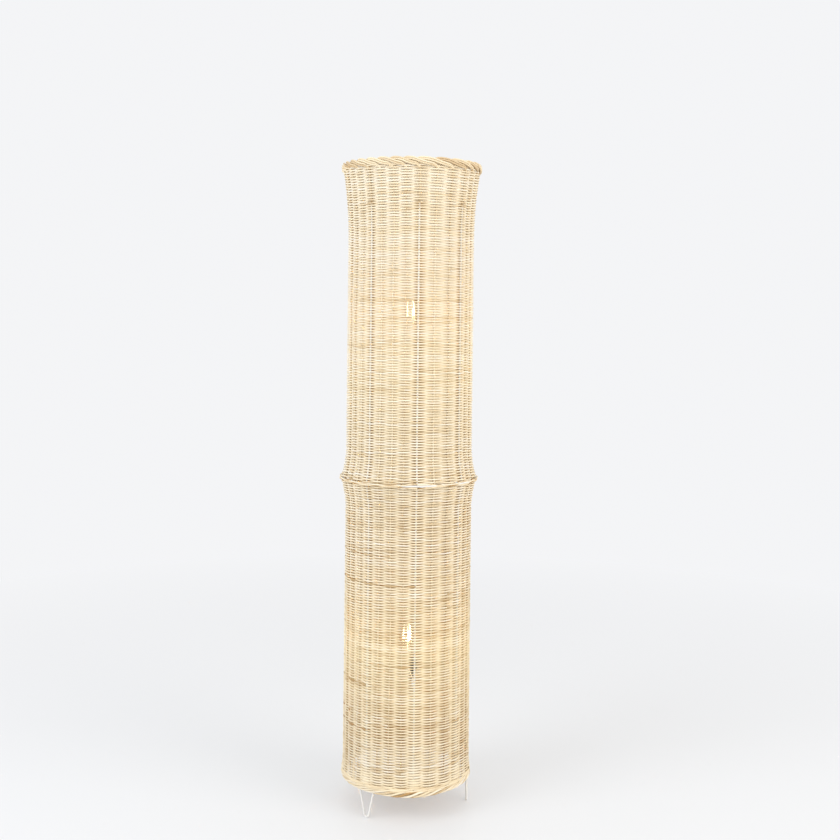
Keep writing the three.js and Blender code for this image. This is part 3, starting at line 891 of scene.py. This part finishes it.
def ring_rows(luck):
    """The two rows that are laid over the middle ring. Where the ring shows they part and dip
    behind every second stake."""
    along = np.arange(0, STAKE_COUNT * 8 + 1) / 8
    knots = np.arange(STAKE_COUNT + 1)
    turn = place_between(along, MID_RING_Z)
    parted = ring_shows(turn)
    strands = Strands()
    for side, phase in ((1, 0), (-1, 1)):
        swing = np.cos(math.pi * (along + phase))
        out, rise = (
            sum(share * np.interp(swing, *np.array(course)[:, [0, k]].T)
                for course, share in ((TOGETHER, 1 - parted), (APART, parted)))
            for k in (1, 2)
        )
        rise = rise + np.interp(along, knots, luck.normal(0, 0.12, len(knots)))
        points = on_circle(turn, ring_radius("middle") + out * MM, MID_RING_Z + side * rise * MM)
        # Painted shade: the lower row is painted darker than the upper, and both darker where they
        # dip behind the stakes
        tone = 0.45 - 0.12 * side + 0.45 * limited(-swing)
        strands.add(points, sizes().weaver_thickness, 3.0 * MM, tone)
    new_piece(strands.mesh("ring_rows", 8), rattan("rattan_weavers"))


def ring_shows(turn):
    """1 where the rows part and show the middle ring, 0 elsewhere."""
    degrees = from_front(turn)
    parted = np.zeros(len(turn))
    for low, high, most in RING_WINDOWS:
        off = np.abs((degrees - (low + high) / 2 + 180) % 360 - 180)
        parted += most * limited(((high - low) / 2 + 3 - off) / 6)
    return limited(parted)


class LAMP_OT_woven_wall(bpy.types.Operator):
    """Weaves the wall below and above the middle ring on its rattan stakes"""

    bl_idname = "lamp.woven_wall"
    bl_label = "Woven wall"

    def execute(self, context):
        foot = WEAVE_BASE_Z + sizes().row_pitch / 2 + FOOT_ROOM
        # The phase makes the rows next to the middle ring pass the stakes in turn with its own
        spirals = {
            "lower": Spiral(foot, MID_RING_Z - RING_ROOM, 0),
            "upper": Spiral(MID_RING_Z + RING_ROOM, WEAVE_TOP_Z + TOP_ROOM, 1),
        }
        luck = np.random.default_rng(7)
        for level, spiral in spirals.items():
            parts = ((spiral.start, spiral.half), (spiral.half, spiral.end))
            for part, (begin, until) in enumerate(parts):
                mesh = weave(luck, spiral, begin, until).mesh(
                    f"{level}_weavers_{part + 1}", ROD_SIDES,
                )
                new_piece(mesh, rattan("rattan_weavers"), [f"{level}_weave"])
        rattan_stakes()
        ring_rows(luck)
        return {"FINISHED"}


# Smooth curves, rim and border


def smooth_line(place, values, shares):
    """Values at the shares, on a smooth curve through the given points."""
    index = np.clip(np.searchsorted(place, shares, side="right") - 1, 0, len(place) - 2)
    share = (shares - place[index]) / (place[index + 1] - place[index])
    ends = 2 * values[0] - values[1], 2 * values[-1] - values[-2]
    padded = np.concatenate([ends[:1], values, ends[1:]])
    a, b, c, d = (padded[index + k] for k in range(4))
    return 0.5 * (
        2 * b + (c - a) * share + (2 * a - 5 * b + 4 * c - d) * share**2
        + (3 * b - a - 3 * c + d) * share**3
    )


def smooth_course(points, count):
    """Columns of a smooth curve through points, at evenly spaced places."""
    columns = np.array(points).T
    place = np.linspace(0, 1, len(points))
    shares = np.linspace(0, 1, count)
    return [smooth_line(place, column, shares) for column in columns]


class LAMP_OT_rim(bpy.types.Operator):
    """Braids the ends of the stakes into the rim"""

    bl_idname = "lamp.rim"
    bl_label = "Braided rim"

    def execute(self, context):
        luck = np.random.default_rng(5)
        strands = Strands()
        along, out, rise = smooth_course(RIM_ROUTE, 34)
        base = stake_line(WEAVE_TOP_Z)
        thick = sizes().stake_thickness * RIM_FULLNESS
        # The twins lie one above the other, and side by side where they turn down inside
        flat = limited((along - 2.0) / 0.4)
        for i in range(STAKE_COUNT):
            tone = luck.uniform(0.35, 0.75)
            for twin in (-0.5, 0.5):
                fan = limited(along / 0.4) * twin * thick
                turn = place_between(i - along + 0.05 * twin, WEAVE_TOP_Z)
                radius = base + out * MM + fan * flat * 0.9
                z = WEAVE_TOP_Z + rise * MM + fan * (1 - flat) * 0.95
                z = np.minimum(z, RIM_LIMIT_Z - thick / 2)
                strands.add(on_circle(turn, radius, z), thick, tone=tone + luck.normal(0, 0.05))
        # Three rods run round inside the braid
        around = np.linspace(0, TAU, 181)
        for rise in (2.0, 4.6, 7.2):
            points = on_circle(around, base + 0.8 * MM, WEAVE_TOP_Z + rise * MM)
            strands.add(points, 2.6 * MM, 2.9 * MM, 0.5)
        new_piece(strands.mesh("braided_rim", 8), rattan("rattan_rim", 0.0, 1.3),
                  ["top_braid"])
        return {"FINISHED"}


class LAMP_OT_border(bpy.types.Operator):
    """Rolls the border at the foot from six thin rods twisted round each other"""

    bl_idname = "lamp.border"
    bl_label = "Rolled border"

    def execute(self, context):
        strands = Strands()
        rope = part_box("bottom_border")[1].x - 4.8 * MM
        steps = np.linspace(0, TAU, 721)
        # Loose and full where new rods join in, tight between
        bulge = (steps + FIRST_TURN + math.pi / 2 - math.radians(6)) / 2
        full = np.abs(np.cos(bulge * 3)) ** 6 * (0.6 + 0.4 * np.cos(bulge * 2))
        for i, tone in enumerate((0.25, 0.5, 0.35, 0.6, 0.2, 0.45)):
            twist = steps * 7 + i * TAU / 6 + 0.5 * np.sin(steps * 7 + i)
            radius = rope + (1.9 + 1.0 * full) * MM * np.cos(twist)
            z = BORDER_Z - 0.6 * MM + (3.2 + 1.7 * full) * MM * np.sin(twist)
            thick = (3.1 + 1.0 * full + 0.3 * np.sin(9 * steps + i)) * MM
            strands.add(on_circle(steps + FIRST_TURN, radius, z), thick, thick * 1.15,
                        tone + 0.35 * full * (i % 2) + 0.12 * np.sin(5 * steps + 2 * i))
        # Three rods above it pair round the stakes and close the wall at the bottom ring
        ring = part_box("bottom_ring")[1]
        turn = place_between(steps / TAU * STAKE_COUNT, ring.z)
        for half, rise in ((0, 0.3), (1, 0.3), (0.5, 3.3)):
            swing = math.pi * (steps / TAU * (STAKE_COUNT - 1) + half)
            radius = ring.x + (1.4 + 0.5 * np.cos(swing)) * MM
            z = ring.z + (rise + 1.3 * np.sin(swing)) * MM
            strands.add(on_circle(turn, radius, z), 2.2 * MM, 3.6 * MM, 0.5 + 0.1 * half)
        new_piece(strands.mesh("rolled_border", 8), rattan("rattan_rim", 0.0, 1.3),
                  ["bottom_border"])
        return {"FINISHED"}


# Wire frame


def joined(name, meshes):
    """One mesh from several."""
    shape = bmesh.new()
    for mesh in meshes:
        shape.from_mesh(mesh)
        bpy.data.meshes.remove(mesh)
    made = bpy.data.meshes.new(name)
    shape.to_mesh(made)
    shape.free()
    made.set_sharp_from_angle(angle=math.radians(50))
    return made


def bead(place, radii, turn):
    """Small blob of weld metal."""
    shape = bmesh.new()
    bmesh.ops.create_icosphere(shape, subdivisions=2, radius=1.0)
    for face in shape.faces:
        face.smooth = True
    scale = Matrix.Diagonal((*(radius * MM for radius in radii), 1))
    spin = Matrix.Rotation(turn, 4, "Z")
    shape.transform(Matrix.Translation(place) @ spin @ scale)
    mesh = bpy.data.meshes.new("bead")
    shape.to_mesh(mesh)
    shape.free()
    return mesh


def leg_circle():
    """Distance of the legs' prongs from the axis, measured to the middle between them."""
    return math.sqrt(stake_line(WEAVE_BASE_Z) ** 2 - (LEG_SPREAD / 2) ** 2)


class LAMP_OT_wire_frame(bpy.types.Operator):
    """Bends the round wires of the frame: legs, rings, uprights and their welds"""

    bl_idname = "lamp.wire_frame"
    bl_label = "Wire frame"

    def execute(self, context):
        self.rings()
        self.uprights()
        self.legs()
        self.welds()
        return {"FINISHED"}

    def wire(self, name, points, replaced, hint=None):
        strands = Strands()
        strands.add(points, sizes().wire_thickness, hint=hint)
        new_piece(strands.mesh(name, 12), hard("painted_wire"), [replaced])

    def rings(self):
        half = sizes().wire_thickness / 2
        for place, z in (("bottom", BOTTOM_RING_Z), ("middle", MID_RING_Z), ("top", TOP_RING_Z)):
            radius = ring_radius(place)
            ring = TAU * np.arange(24) / 24
            profile = [(radius + half * math.cos(t), half * math.sin(t)) for t in ring]
            turned_piece(f"{place}_round_ring", profile, 144, z, "painted_wire", "frame_wire",
                         f"{place}_ring", sharp=80)

    def uprights(self):
        end = TOP_RING_Z + 2 * MM
        z = np.append(np.arange(BOTTOM_RING_Z + 1 * MM, end, 8 * MM), end)
        for k, turn in enumerate(STAKE_TURNS[STAKE_IS_WIRE]):
            points = on_circle(turn, stake_line(z), z)
            self.wire(f"wire_upright_{k + 1}", points, f"upright_{k + 1}")

    def legs(self):
        spread, bend, wire = LEG_SPREAD, LEG_BEND, sizes().wire_thickness
        height = BOTTOM_RING_Z - wire / 2 - GAP
        lean = math.atan2(spread / 2 - bend, height)
        end = Vector((spread / 2, height - wire / 2 * (1 + math.sin(lean)) - bend))
        turn_out = math.atan2(end.y, end.x) - math.acos(bend / end.length)
        prong = math.sqrt(end.length**2 - bend**2)
        # One half from the top of its prong to the middle of the bend, and then both
        arc = np.linspace(turn_out, -math.pi / 2, 14)
        x, z = bend * np.cos(arc), bend * np.sin(arc) + bend + wire / 2
        past = np.linspace(prong, 0, 10)[:-1]
        x = np.concatenate([x[0] - past * math.sin(turn_out), x])
        z = np.concatenate([z[0] + past * math.cos(turn_out), z])
        x, z = np.concatenate([-x, x[-2::-1]]), np.concatenate([z, z[-2::-1]])
        for place, turn in LEG_TURNS.items():
            middle = at(leg_circle(), turn, 0)
            points = np.stack([
                middle.x - x * math.sin(turn), middle.y + x * math.cos(turn), z,
            ], axis=1)
            hint = np.array([math.cos(turn), math.sin(turn), 0])
            self.wire(f"hairpin_leg_{place}", points, f"leg_{place}", hint)

    def welds(self):
        wire = sizes().wire_thickness
        beads = []
        for turn in STAKE_TURNS[STAKE_IS_WIRE]:
            for z, side in ((BOTTOM_RING_Z + 2 * MM, 0), (MID_RING_Z, 0.55), (TOP_RING_Z, -0.55)):
                place = at(stake_line(z) + side * wire, turn, z)
                beads.append(bead(place, (1.7, 2.3, 2.1), turn))
        x, z = leg_circle(), BOTTOM_RING_Z - 2.2 * MM
        for turn in LEG_TURNS.values():
            for y in (-19.2 * MM, 19.2 * MM):
                place = Matrix.Rotation(turn, 3, "Z") @ Vector((x, y, z))
                beads.append(bead(place, (1.9, 2.6, 1.8), turn))
        new_piece(joined("weld_beads", beads), hard("painted_wire"))


# Lampholders


def in_metres(points):
    """Points of a profile that are given in millimetres."""
    return [(r * MM, z * MM) for r, z in points]


def with_points(profile, first, last, parts):
    """Profile with more points between two of its points, so that a wave shows there."""
    start, end = Vector(profile[first]), Vector(profile[last])
    extra = [tuple(start.lerp(end, i / parts)) for i in range(1, parts)]
    return [*profile[:last], *extra, *profile[last:]]


def quarter(bore, radius, low, high):
    """Quarter of an oval from the bore out and up to the full radius."""
    return [(bore + (radius - bore) * math.sin(t), low + (high - low) * (1 - math.cos(t)))
            for t in np.linspace(0, math.pi / 2, 14)]


class LAMP_OT_lampholders(bpy.types.Operator):
    """Makes both lampholders with their clamp rings and wire carriers"""

    bl_idname = "lamp.lampholders"
    bl_label = "Lampholders"

    def execute(self, context):
        for level in LEVELS:
            self.bowl(level)
            self.body(level)
            for place in ("low", "high"):
                self.clamp(level, place)
            self.carrier(level)
            recoated(f"{level}_contact_block", "ceramic")
            recoated(f"{level}_screw_shell", "brass")
            recoated(f"{level}_contact_strip", "brass")
        return {"FINISHED"}

    def bowl(self, level):
        bore, gland, low, high, rib_count = 3.5 * MM, 6.5 * MM, 8 * MM, 28 * MM, 18
        outer = quarter(gland, CASE_RADIUS, low, high)
        inner = quarter(bore, CASE_RADIUS - CASE_WALL, low + CASE_WALL, high)
        profile = [(bore, 0.4 * MM), (bore + 0.4 * MM, 0), (gland - 0.8 * MM, 0),
                   (gland, 0.8 * MM), *outer, *inner[::-1]]

        def gland_ribs(r, z, turn):
            near = limited(1 - np.abs(z - 3.4 * MM) / (2.6 * MM))
            outside = r > gland - 0.1 * MM
            return r - outside * near * 0.35 * MM * (1 + np.cos(rib_count * turn)) / 2

        profile = with_points(profile, 3, 4, 5)
        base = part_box(f"{level}_holder_cap")[0].z
        turned_piece(f"{level}_case_bowl", profile, 144, base, "black_case", "holder_case",
                     f"{level}_holder_cap", wave=gland_ribs)

    def body(self, level):
        foot, top = (corner.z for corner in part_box(f"{level}_holder_body"))
        radius, mouth, inside, top = CASE_RADIUS, 14.3 * MM, CASE_RADIUS - CASE_WALL, top - foot
        profile = rounded([
            (inside, 0), (radius, 0), (radius, top), (mouth, top), (mouth, top - 3 * MM),
            (inside, top - 5 * MM),
        ], 1.2 * MM)

        def outer_thread(r, z, turn):
            coil = 0.5 + 0.5 * np.cos(TAU * z / (2.4 * MM) - turn)
            near = limited((z - 2.5 * MM) / MM) * limited((top - 4 * MM - z) / MM)
            return r - (r > radius - 0.1 * MM) * near * 0.45 * MM * coil

        profile = with_points(profile, 7, 8, 64)
        turned_piece(f"{level}_case_body", profile, 96, foot, "black_case", "holder_case",
                     f"{level}_holder_body", wave=outer_thread)

    def clamp(self, level, place):
        low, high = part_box(f"{level}_clamp_ring_{place}")
        tall, rim, bore = high.z - low.z, CASE_RADIUS + 5.8 * MM, CASE_RADIUS + 0.35 * MM
        profile = rounded([(bore, 0), (rim, 0), (rim, tall), (bore, tall)], 0.9 * MM)
        rib_count = 28

        def ribs(r, z, turn):
            outside = limited((r - rim + 1.2 * MM) / MM)
            wave = limited(0.5 + 1.4 * np.cos(rib_count * turn))
            return r - outside * 0.9 * MM * (1 - wave)

        turned_piece(f"{level}_ribbed_ring_{place}", profile, rib_count * 8, low.z, "black_case",
                     "holder_case", f"{level}_clamp_ring_{place}", wave=ribs)

    def carrier(self, level):
        z = middle_z(f"{level}_carrier")
        bore, rim, half = 20.3 * MM, 27.3 * MM, 1 * MM
        plate = rounded([(bore, -half), (rim, -half), (rim, half), (bore, half)], 0.5 * MM)
        meshes = [turned("plate", plate, 96, z)]
        reach = stake_line(z) - 2.0 * MM
        for i in range(4):
            turn = FIRST_TURN + TAU * i / 4
            start = rim - 1.0 * MM
            strands = Strands()
            points = on_circle(turn, np.array([start, (start + reach) / 2, reach]), z)
            strands.add(points, 3 * MM, hint=UPWARD)
            meshes.append(strands.mesh("arm", 12))
            for end in (rim + 0.5 * MM, reach):
                meshes.append(bead(at(end, turn, z), (2.2, 1.9, 1.5), turn))
        mesh = joined(f"{level}_wire_carrier", meshes)
        new_piece(mesh, hard("painted_wire"), [f"{level}_carrier"])


# Bulbs


class LAMP_OT_bulbs(bpy.types.Operator):
    """Makes both bulbs: glass, threaded cap, stem, lead wires and lit rods"""

    bl_idname = "lamp.bulbs"
    bl_label = "Bulbs"

    def execute(self, context):
        for level in LEVELS:
            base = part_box(f"{level}_bulb_tip")[0].z
            self.glass(level, base)
            self.cap(level, base)
            self.mount(level, base)
            recoated(f"{level}_bulb_tip", "nickel")
            self.light(level, base)
        return {"FINISHED"}

    def see_through(self, level, name, profile, steps, base, replaced, **shape):
        """Turned piece of glass that casts no shadow."""
        turned_piece(f"{level}_{name}", profile, steps, base, "clear_glass", "bulb_glass",
                     f"{level}_{replaced}", f"{level}_bulb", **shape).visible_shadow = False

    def glass(self, level, base):
        length, foot, wall = BULB_LENGTH, GLASS_FOOT, GLASS_WALL
        # Shares of the largest radius and of the height above the neck
        shares = [(0.4, 0.1), (0.62, 0.27), (0.86, 0.45), (1, 0.64), (0.93, 0.83), (0.55, 0.975)]
        knots = [(r * BULB_RADIUS, foot + h * (length - foot)) for r, h in shares]
        r, z = smooth_course([(BULB_NECK, foot), *knots, (0, length)], 57)
        r, z = np.maximum(r, 0), np.minimum(z, length)
        along = unit(np.stack([np.gradient(r), np.gradient(z)], axis=1))
        inner_r = np.maximum(r - along[:, 1] * wall, 0)
        inner_z = z + along[:, 0] * wall
        inner_r[-1], inner_z[-1], inner_z[0] = 0, length - wall, foot
        keep = (inner_r > 0) | (np.arange(len(r)) == len(r) - 1)
        inner = list(zip(inner_r[keep], inner_z[keep]))[::-1]
        self.see_through(level, "glass_globe", [*zip(r, z), *inner], 64, base, "bulb_glass",
                         sharp=80)

    def cap(self, level, base):
        root, start, end = THREAD_ROOT, 5.6 * MM, 21.5 * MM
        shell = in_metres([(0, 5), (11.7, 5), (12.2, 5.6)])
        shell += [(root, z) for z in np.linspace(start, end, 72)[1:]]
        shell += in_metres([(12.3, 22), (13, 22.8), (13.2, 23.6), (13.2, 26.5), (12.8, 27),
                            (12.4, 27), (12, 26.5), (12, 24), (0, 24)])

        def thread(r, z, turn):
            wave = (0.5 + 0.5 * np.cos(TAU * z / THREAD_PITCH - turn)) ** 1.3
            near = limited((z - start) / (2 * MM)) * limited((22 * MM - z) / MM)
            return r + (np.abs(r - root) < 0.2 * MM) * near * THREAD_DEPTH * wave

        body, replaced = f"{level}_bulb", f"{level}_bulb_cap"
        turned_piece(f"{level}_threaded_cap", shell, 72, base, "nickel", "bulb_metal", replaced,
                     body, closed=False, wave=thread)
        cone = in_metres([(0, 1.9), (4.2, 1.9), (5.2, 2.1), (8.4, 3.4), (11.2, 4.6), (11.6, 5.2),
                          (0, 5.3)])
        turned_piece(f"{level}_cap_insulator", cone, 48, base, "black_glass", "holder_case",
                     replaced, body, closed=False)

    def mount(self, level, base):
        body, replaced = f"{level}_bulb", [f"{level}_bulb_filament"]
        stem = in_metres([(0, 24.3), (10.6, 24.3), (9.6, 26.3), (6.4, 30.3), (4.2, 35.3),
                          (3.4, 41.3), (2.2, 45.3), (1.2, 48.3), (1.2, 93), (0.72, 94), (0, 94)])
        self.see_through(level, "glass_stem", stem, 32, base, "bulb_filament", closed=False,
                         sharp=60)
        rods, wires = Strands(), Strands()
        foothold, crown = at(0, 0, base + 38 * MM), at(0, 0, base + 93 * MM)
        for i in range(4):
            turn = math.radians(10) + TAU * i / 4
            low, high = at(12 * MM, turn, base + 41 * MM), at(6 * MM, turn, base + 93 * MM)
            ends = np.array([low.lerp(high, s) for s in (0, 0.02, 0.5, 0.98, 1)])
            rods.add(ends, np.array([1.2, 2.0, 2.0, 2.0, 1.2]) * MM, hint=at(1, turn, 0))
            for start, end, sag in ((foothold, low, -1.5 * MM), (crown, high, 1.2 * MM)):
                bent = start.lerp(end, 0.5) + at(0, 0, sag)
                wires.add(np.array([start, bent, end]), 0.7 * MM, hint=UPWARD)
        new_piece(rods.mesh(f"{level}_lit_rods", 12), hard("lit_rods"), replaced,
                  body)
        new_piece(wires.mesh(f"{level}_lead_wires", 8), hard("nickel"), replaced,
                  body)

    def light(self, level, base):
        lamp = bpy.data.lights.new(f"{level}_bulb_light", "POINT")
        lamp.energy = bpy.context.scene.lamp_stage.bulb_power
        lamp.color = finishes().glow
        lamp.shadow_soft_size = 12 * MM
        added(lamp.name, lamp).location = (0, 0, base + LIGHT_HEIGHT)


# Stage


def blended(tree, share, first, second, output):
    """Leads the mix of two shaders by a socket to an output."""
    blend = tree.nodes.new("ShaderNodeMixShader")
    for socket, source in zip(blend.inputs, (share, first.outputs[0], second.outputs[0])):
        link(tree, source, socket)
    link(tree, blend.outputs[0], tree.nodes[output].inputs["Surface"])


class LAMP_OT_stage(bpy.types.Operator):
    """Sets up floor, light, background and camera"""

    bl_idname = "lamp.stage"
    bl_label = "Stage"

    def execute(self, context):
        scene = context.scene
        stage = scene.lamp_stage
        scene.view_settings.view_transform = "Standard"
        self.floor(stage)
        self.world(scene, stage)
        self.area("key", (-3.0, -2.2, 2.5), stage.key_power, (0.88, 0.93, 1.0))
        self.area("fill", (3.0, -2.0, 2.1), stage.fill_power, (1.0, 0.97, 0.93))
        self.camera(scene)
        return {"FINISHED"}

    def floor(self, stage):
        """Floor that runs over into the backdrop away from the lamp."""
        mesh = bpy.data.meshes.new("floor")
        half = 9.0
        corners = [(-half, -half, 0), (half, -half, 0), (half, half, 0), (-half, half, 0)]
        mesh.from_pydata(corners, [], [(0, 1, 2, 3)])
        made = added("floor", mesh)
        material = bpy.data.materials.new("floor")
        material.use_nodes = True
        tree = material.node_tree
        shader = tree.nodes["Principled BSDF"]
        shader.inputs["Base Color"].default_value = (*stage.floor, 1)
        shader.inputs["Roughness"].default_value = 0.42
        glow = node(tree, "ShaderNodeEmission", Color=(*stage.backdrop, 1))
        place = tree.nodes.new("ShaderNodeTexCoord").outputs["Object"]
        far = vector_maths(tree, "LENGTH", place)
        # Seen by the camera the floor glows with the backdrop's colour, 38% of it next to the lamp,
        # which paints light into the lamp's shadow, and fully far away
        away = ranged(tree, far.outputs["Value"], 0.9, 2.6, 0.38, 1.0)
        sight = tree.nodes.new("ShaderNodeLightPath").outputs["Is Camera Ray"]
        blended(tree, maths(tree, "MULTIPLY", away, sight), shader, glow, "Material Output")
        mesh.materials.append(material)

    def world(self, scene, stage):
        """Even light from all round, and the backdrop's colour where it is seen."""
        scene.world = bpy.data.worlds.new("soft_light")
        scene.world.use_nodes = True
        tree = scene.world.node_tree
        light = tree.nodes["Background"]
        light.inputs["Color"].default_value = (0.98, 0.99, 1.0, 1)
        light.inputs["Strength"].default_value = stage.daylight
        seen = node(tree, "ShaderNodeBackground", Color=(*stage.backdrop, 1), Strength=1.0)
        path = tree.nodes.new("ShaderNodeLightPath").outputs
        share = maths(tree, "MAXIMUM", path["Is Camera Ray"], path["Is Glossy Ray"])
        share = maths(tree, "MAXIMUM", share, path["Is Transmission Ray"])
        blended(tree, share, light, seen, "World Output")

    def area(self, name, place, power, colour):
        """Large round light that is aimed at the middle of the lamp."""
        lamp = bpy.data.lights.new(name, "AREA")
        lamp.shape, lamp.size, lamp.energy, lamp.color = "DISK", 2.8, power, colour
        made = added(name, lamp)
        made.location = place
        aim = Vector((0, 0, 0.7)) - Vector(place)
        made.rotation_euler = aim.to_track_quat("-Z", "Y").to_euler()

    def camera(self, scene):
        """Level camera with the lens shifted down, rolled as the photograph is."""
        lens = bpy.data.cameras.new("camera")
        lens.sensor_width, lens.lens = 36, 49.4
        lens.shift_y = -0.125
        lens.clip_end = 60
        roll = Matrix.Rotation(math.radians(0.62), 4, "Z")
        level = Matrix.Rotation(math.pi / 2, 4, "X")
        scene.camera = added("camera", lens)
        scene.camera.matrix_world = Matrix.Translation((0.0213, -2.56, 1.069)) @ level @ roll


class LAMP_PT_lamp(bpy.types.Panel):
    """Sidebar panel that lists the lamp's pieces"""

    bl_idname = "LAMP_PT_lamp"
    bl_label = "Rattan floor lamp"
    bl_space_type = "VIEW_3D"
    bl_region_type = "UI"
    bl_category = "Lamp"

    def draw(self, context):
        for operator in OPERATORS:
            self.layout.operator(operator.bl_idname)
        for settings in SETTINGS:
            group = getattr(context.scene, settings)
            box = self.layout.box()
            for name in group.bl_rna.properties.keys():
                if name not in ("rna_type", "name"):
                    box.prop(group, name)


OPERATORS = (
    LAMP_OT_wire_frame,
    LAMP_OT_woven_wall,
    LAMP_OT_rim,
    LAMP_OT_border,
    LAMP_OT_lampholders,
    LAMP_OT_bulbs,
    LAMP_OT_stage,
)
SETTINGS = {"lamp_sizes": TubeSizes, "lamp_finishes": Finishes, "lamp_stage": StageLight}


def register():
    for item in (*SETTINGS.values(), *OPERATORS, LAMP_PT_lamp):
        bpy.utils.register_class(item)
    for name, kind in SETTINGS.items():
        setattr(bpy.types.Scene, name, PointerProperty(type=kind))


def unregister():
    for name in SETTINGS:
        delattr(bpy.types.Scene, name)
    for item in reversed((*SETTINGS.values(), *OPERATORS, LAMP_PT_lamp)):
        bpy.utils.unregister_class(item)


def main():
    register()
    bpy.ops.lamp.wire_frame()
    bpy.ops.lamp.woven_wall()
    bpy.ops.lamp.rim()
    bpy.ops.lamp.border()
    bpy.ops.lamp.lampholders()
    bpy.ops.lamp.bulbs()
    bpy.ops.lamp.stage()


if __name__ == "__main__":
    main()
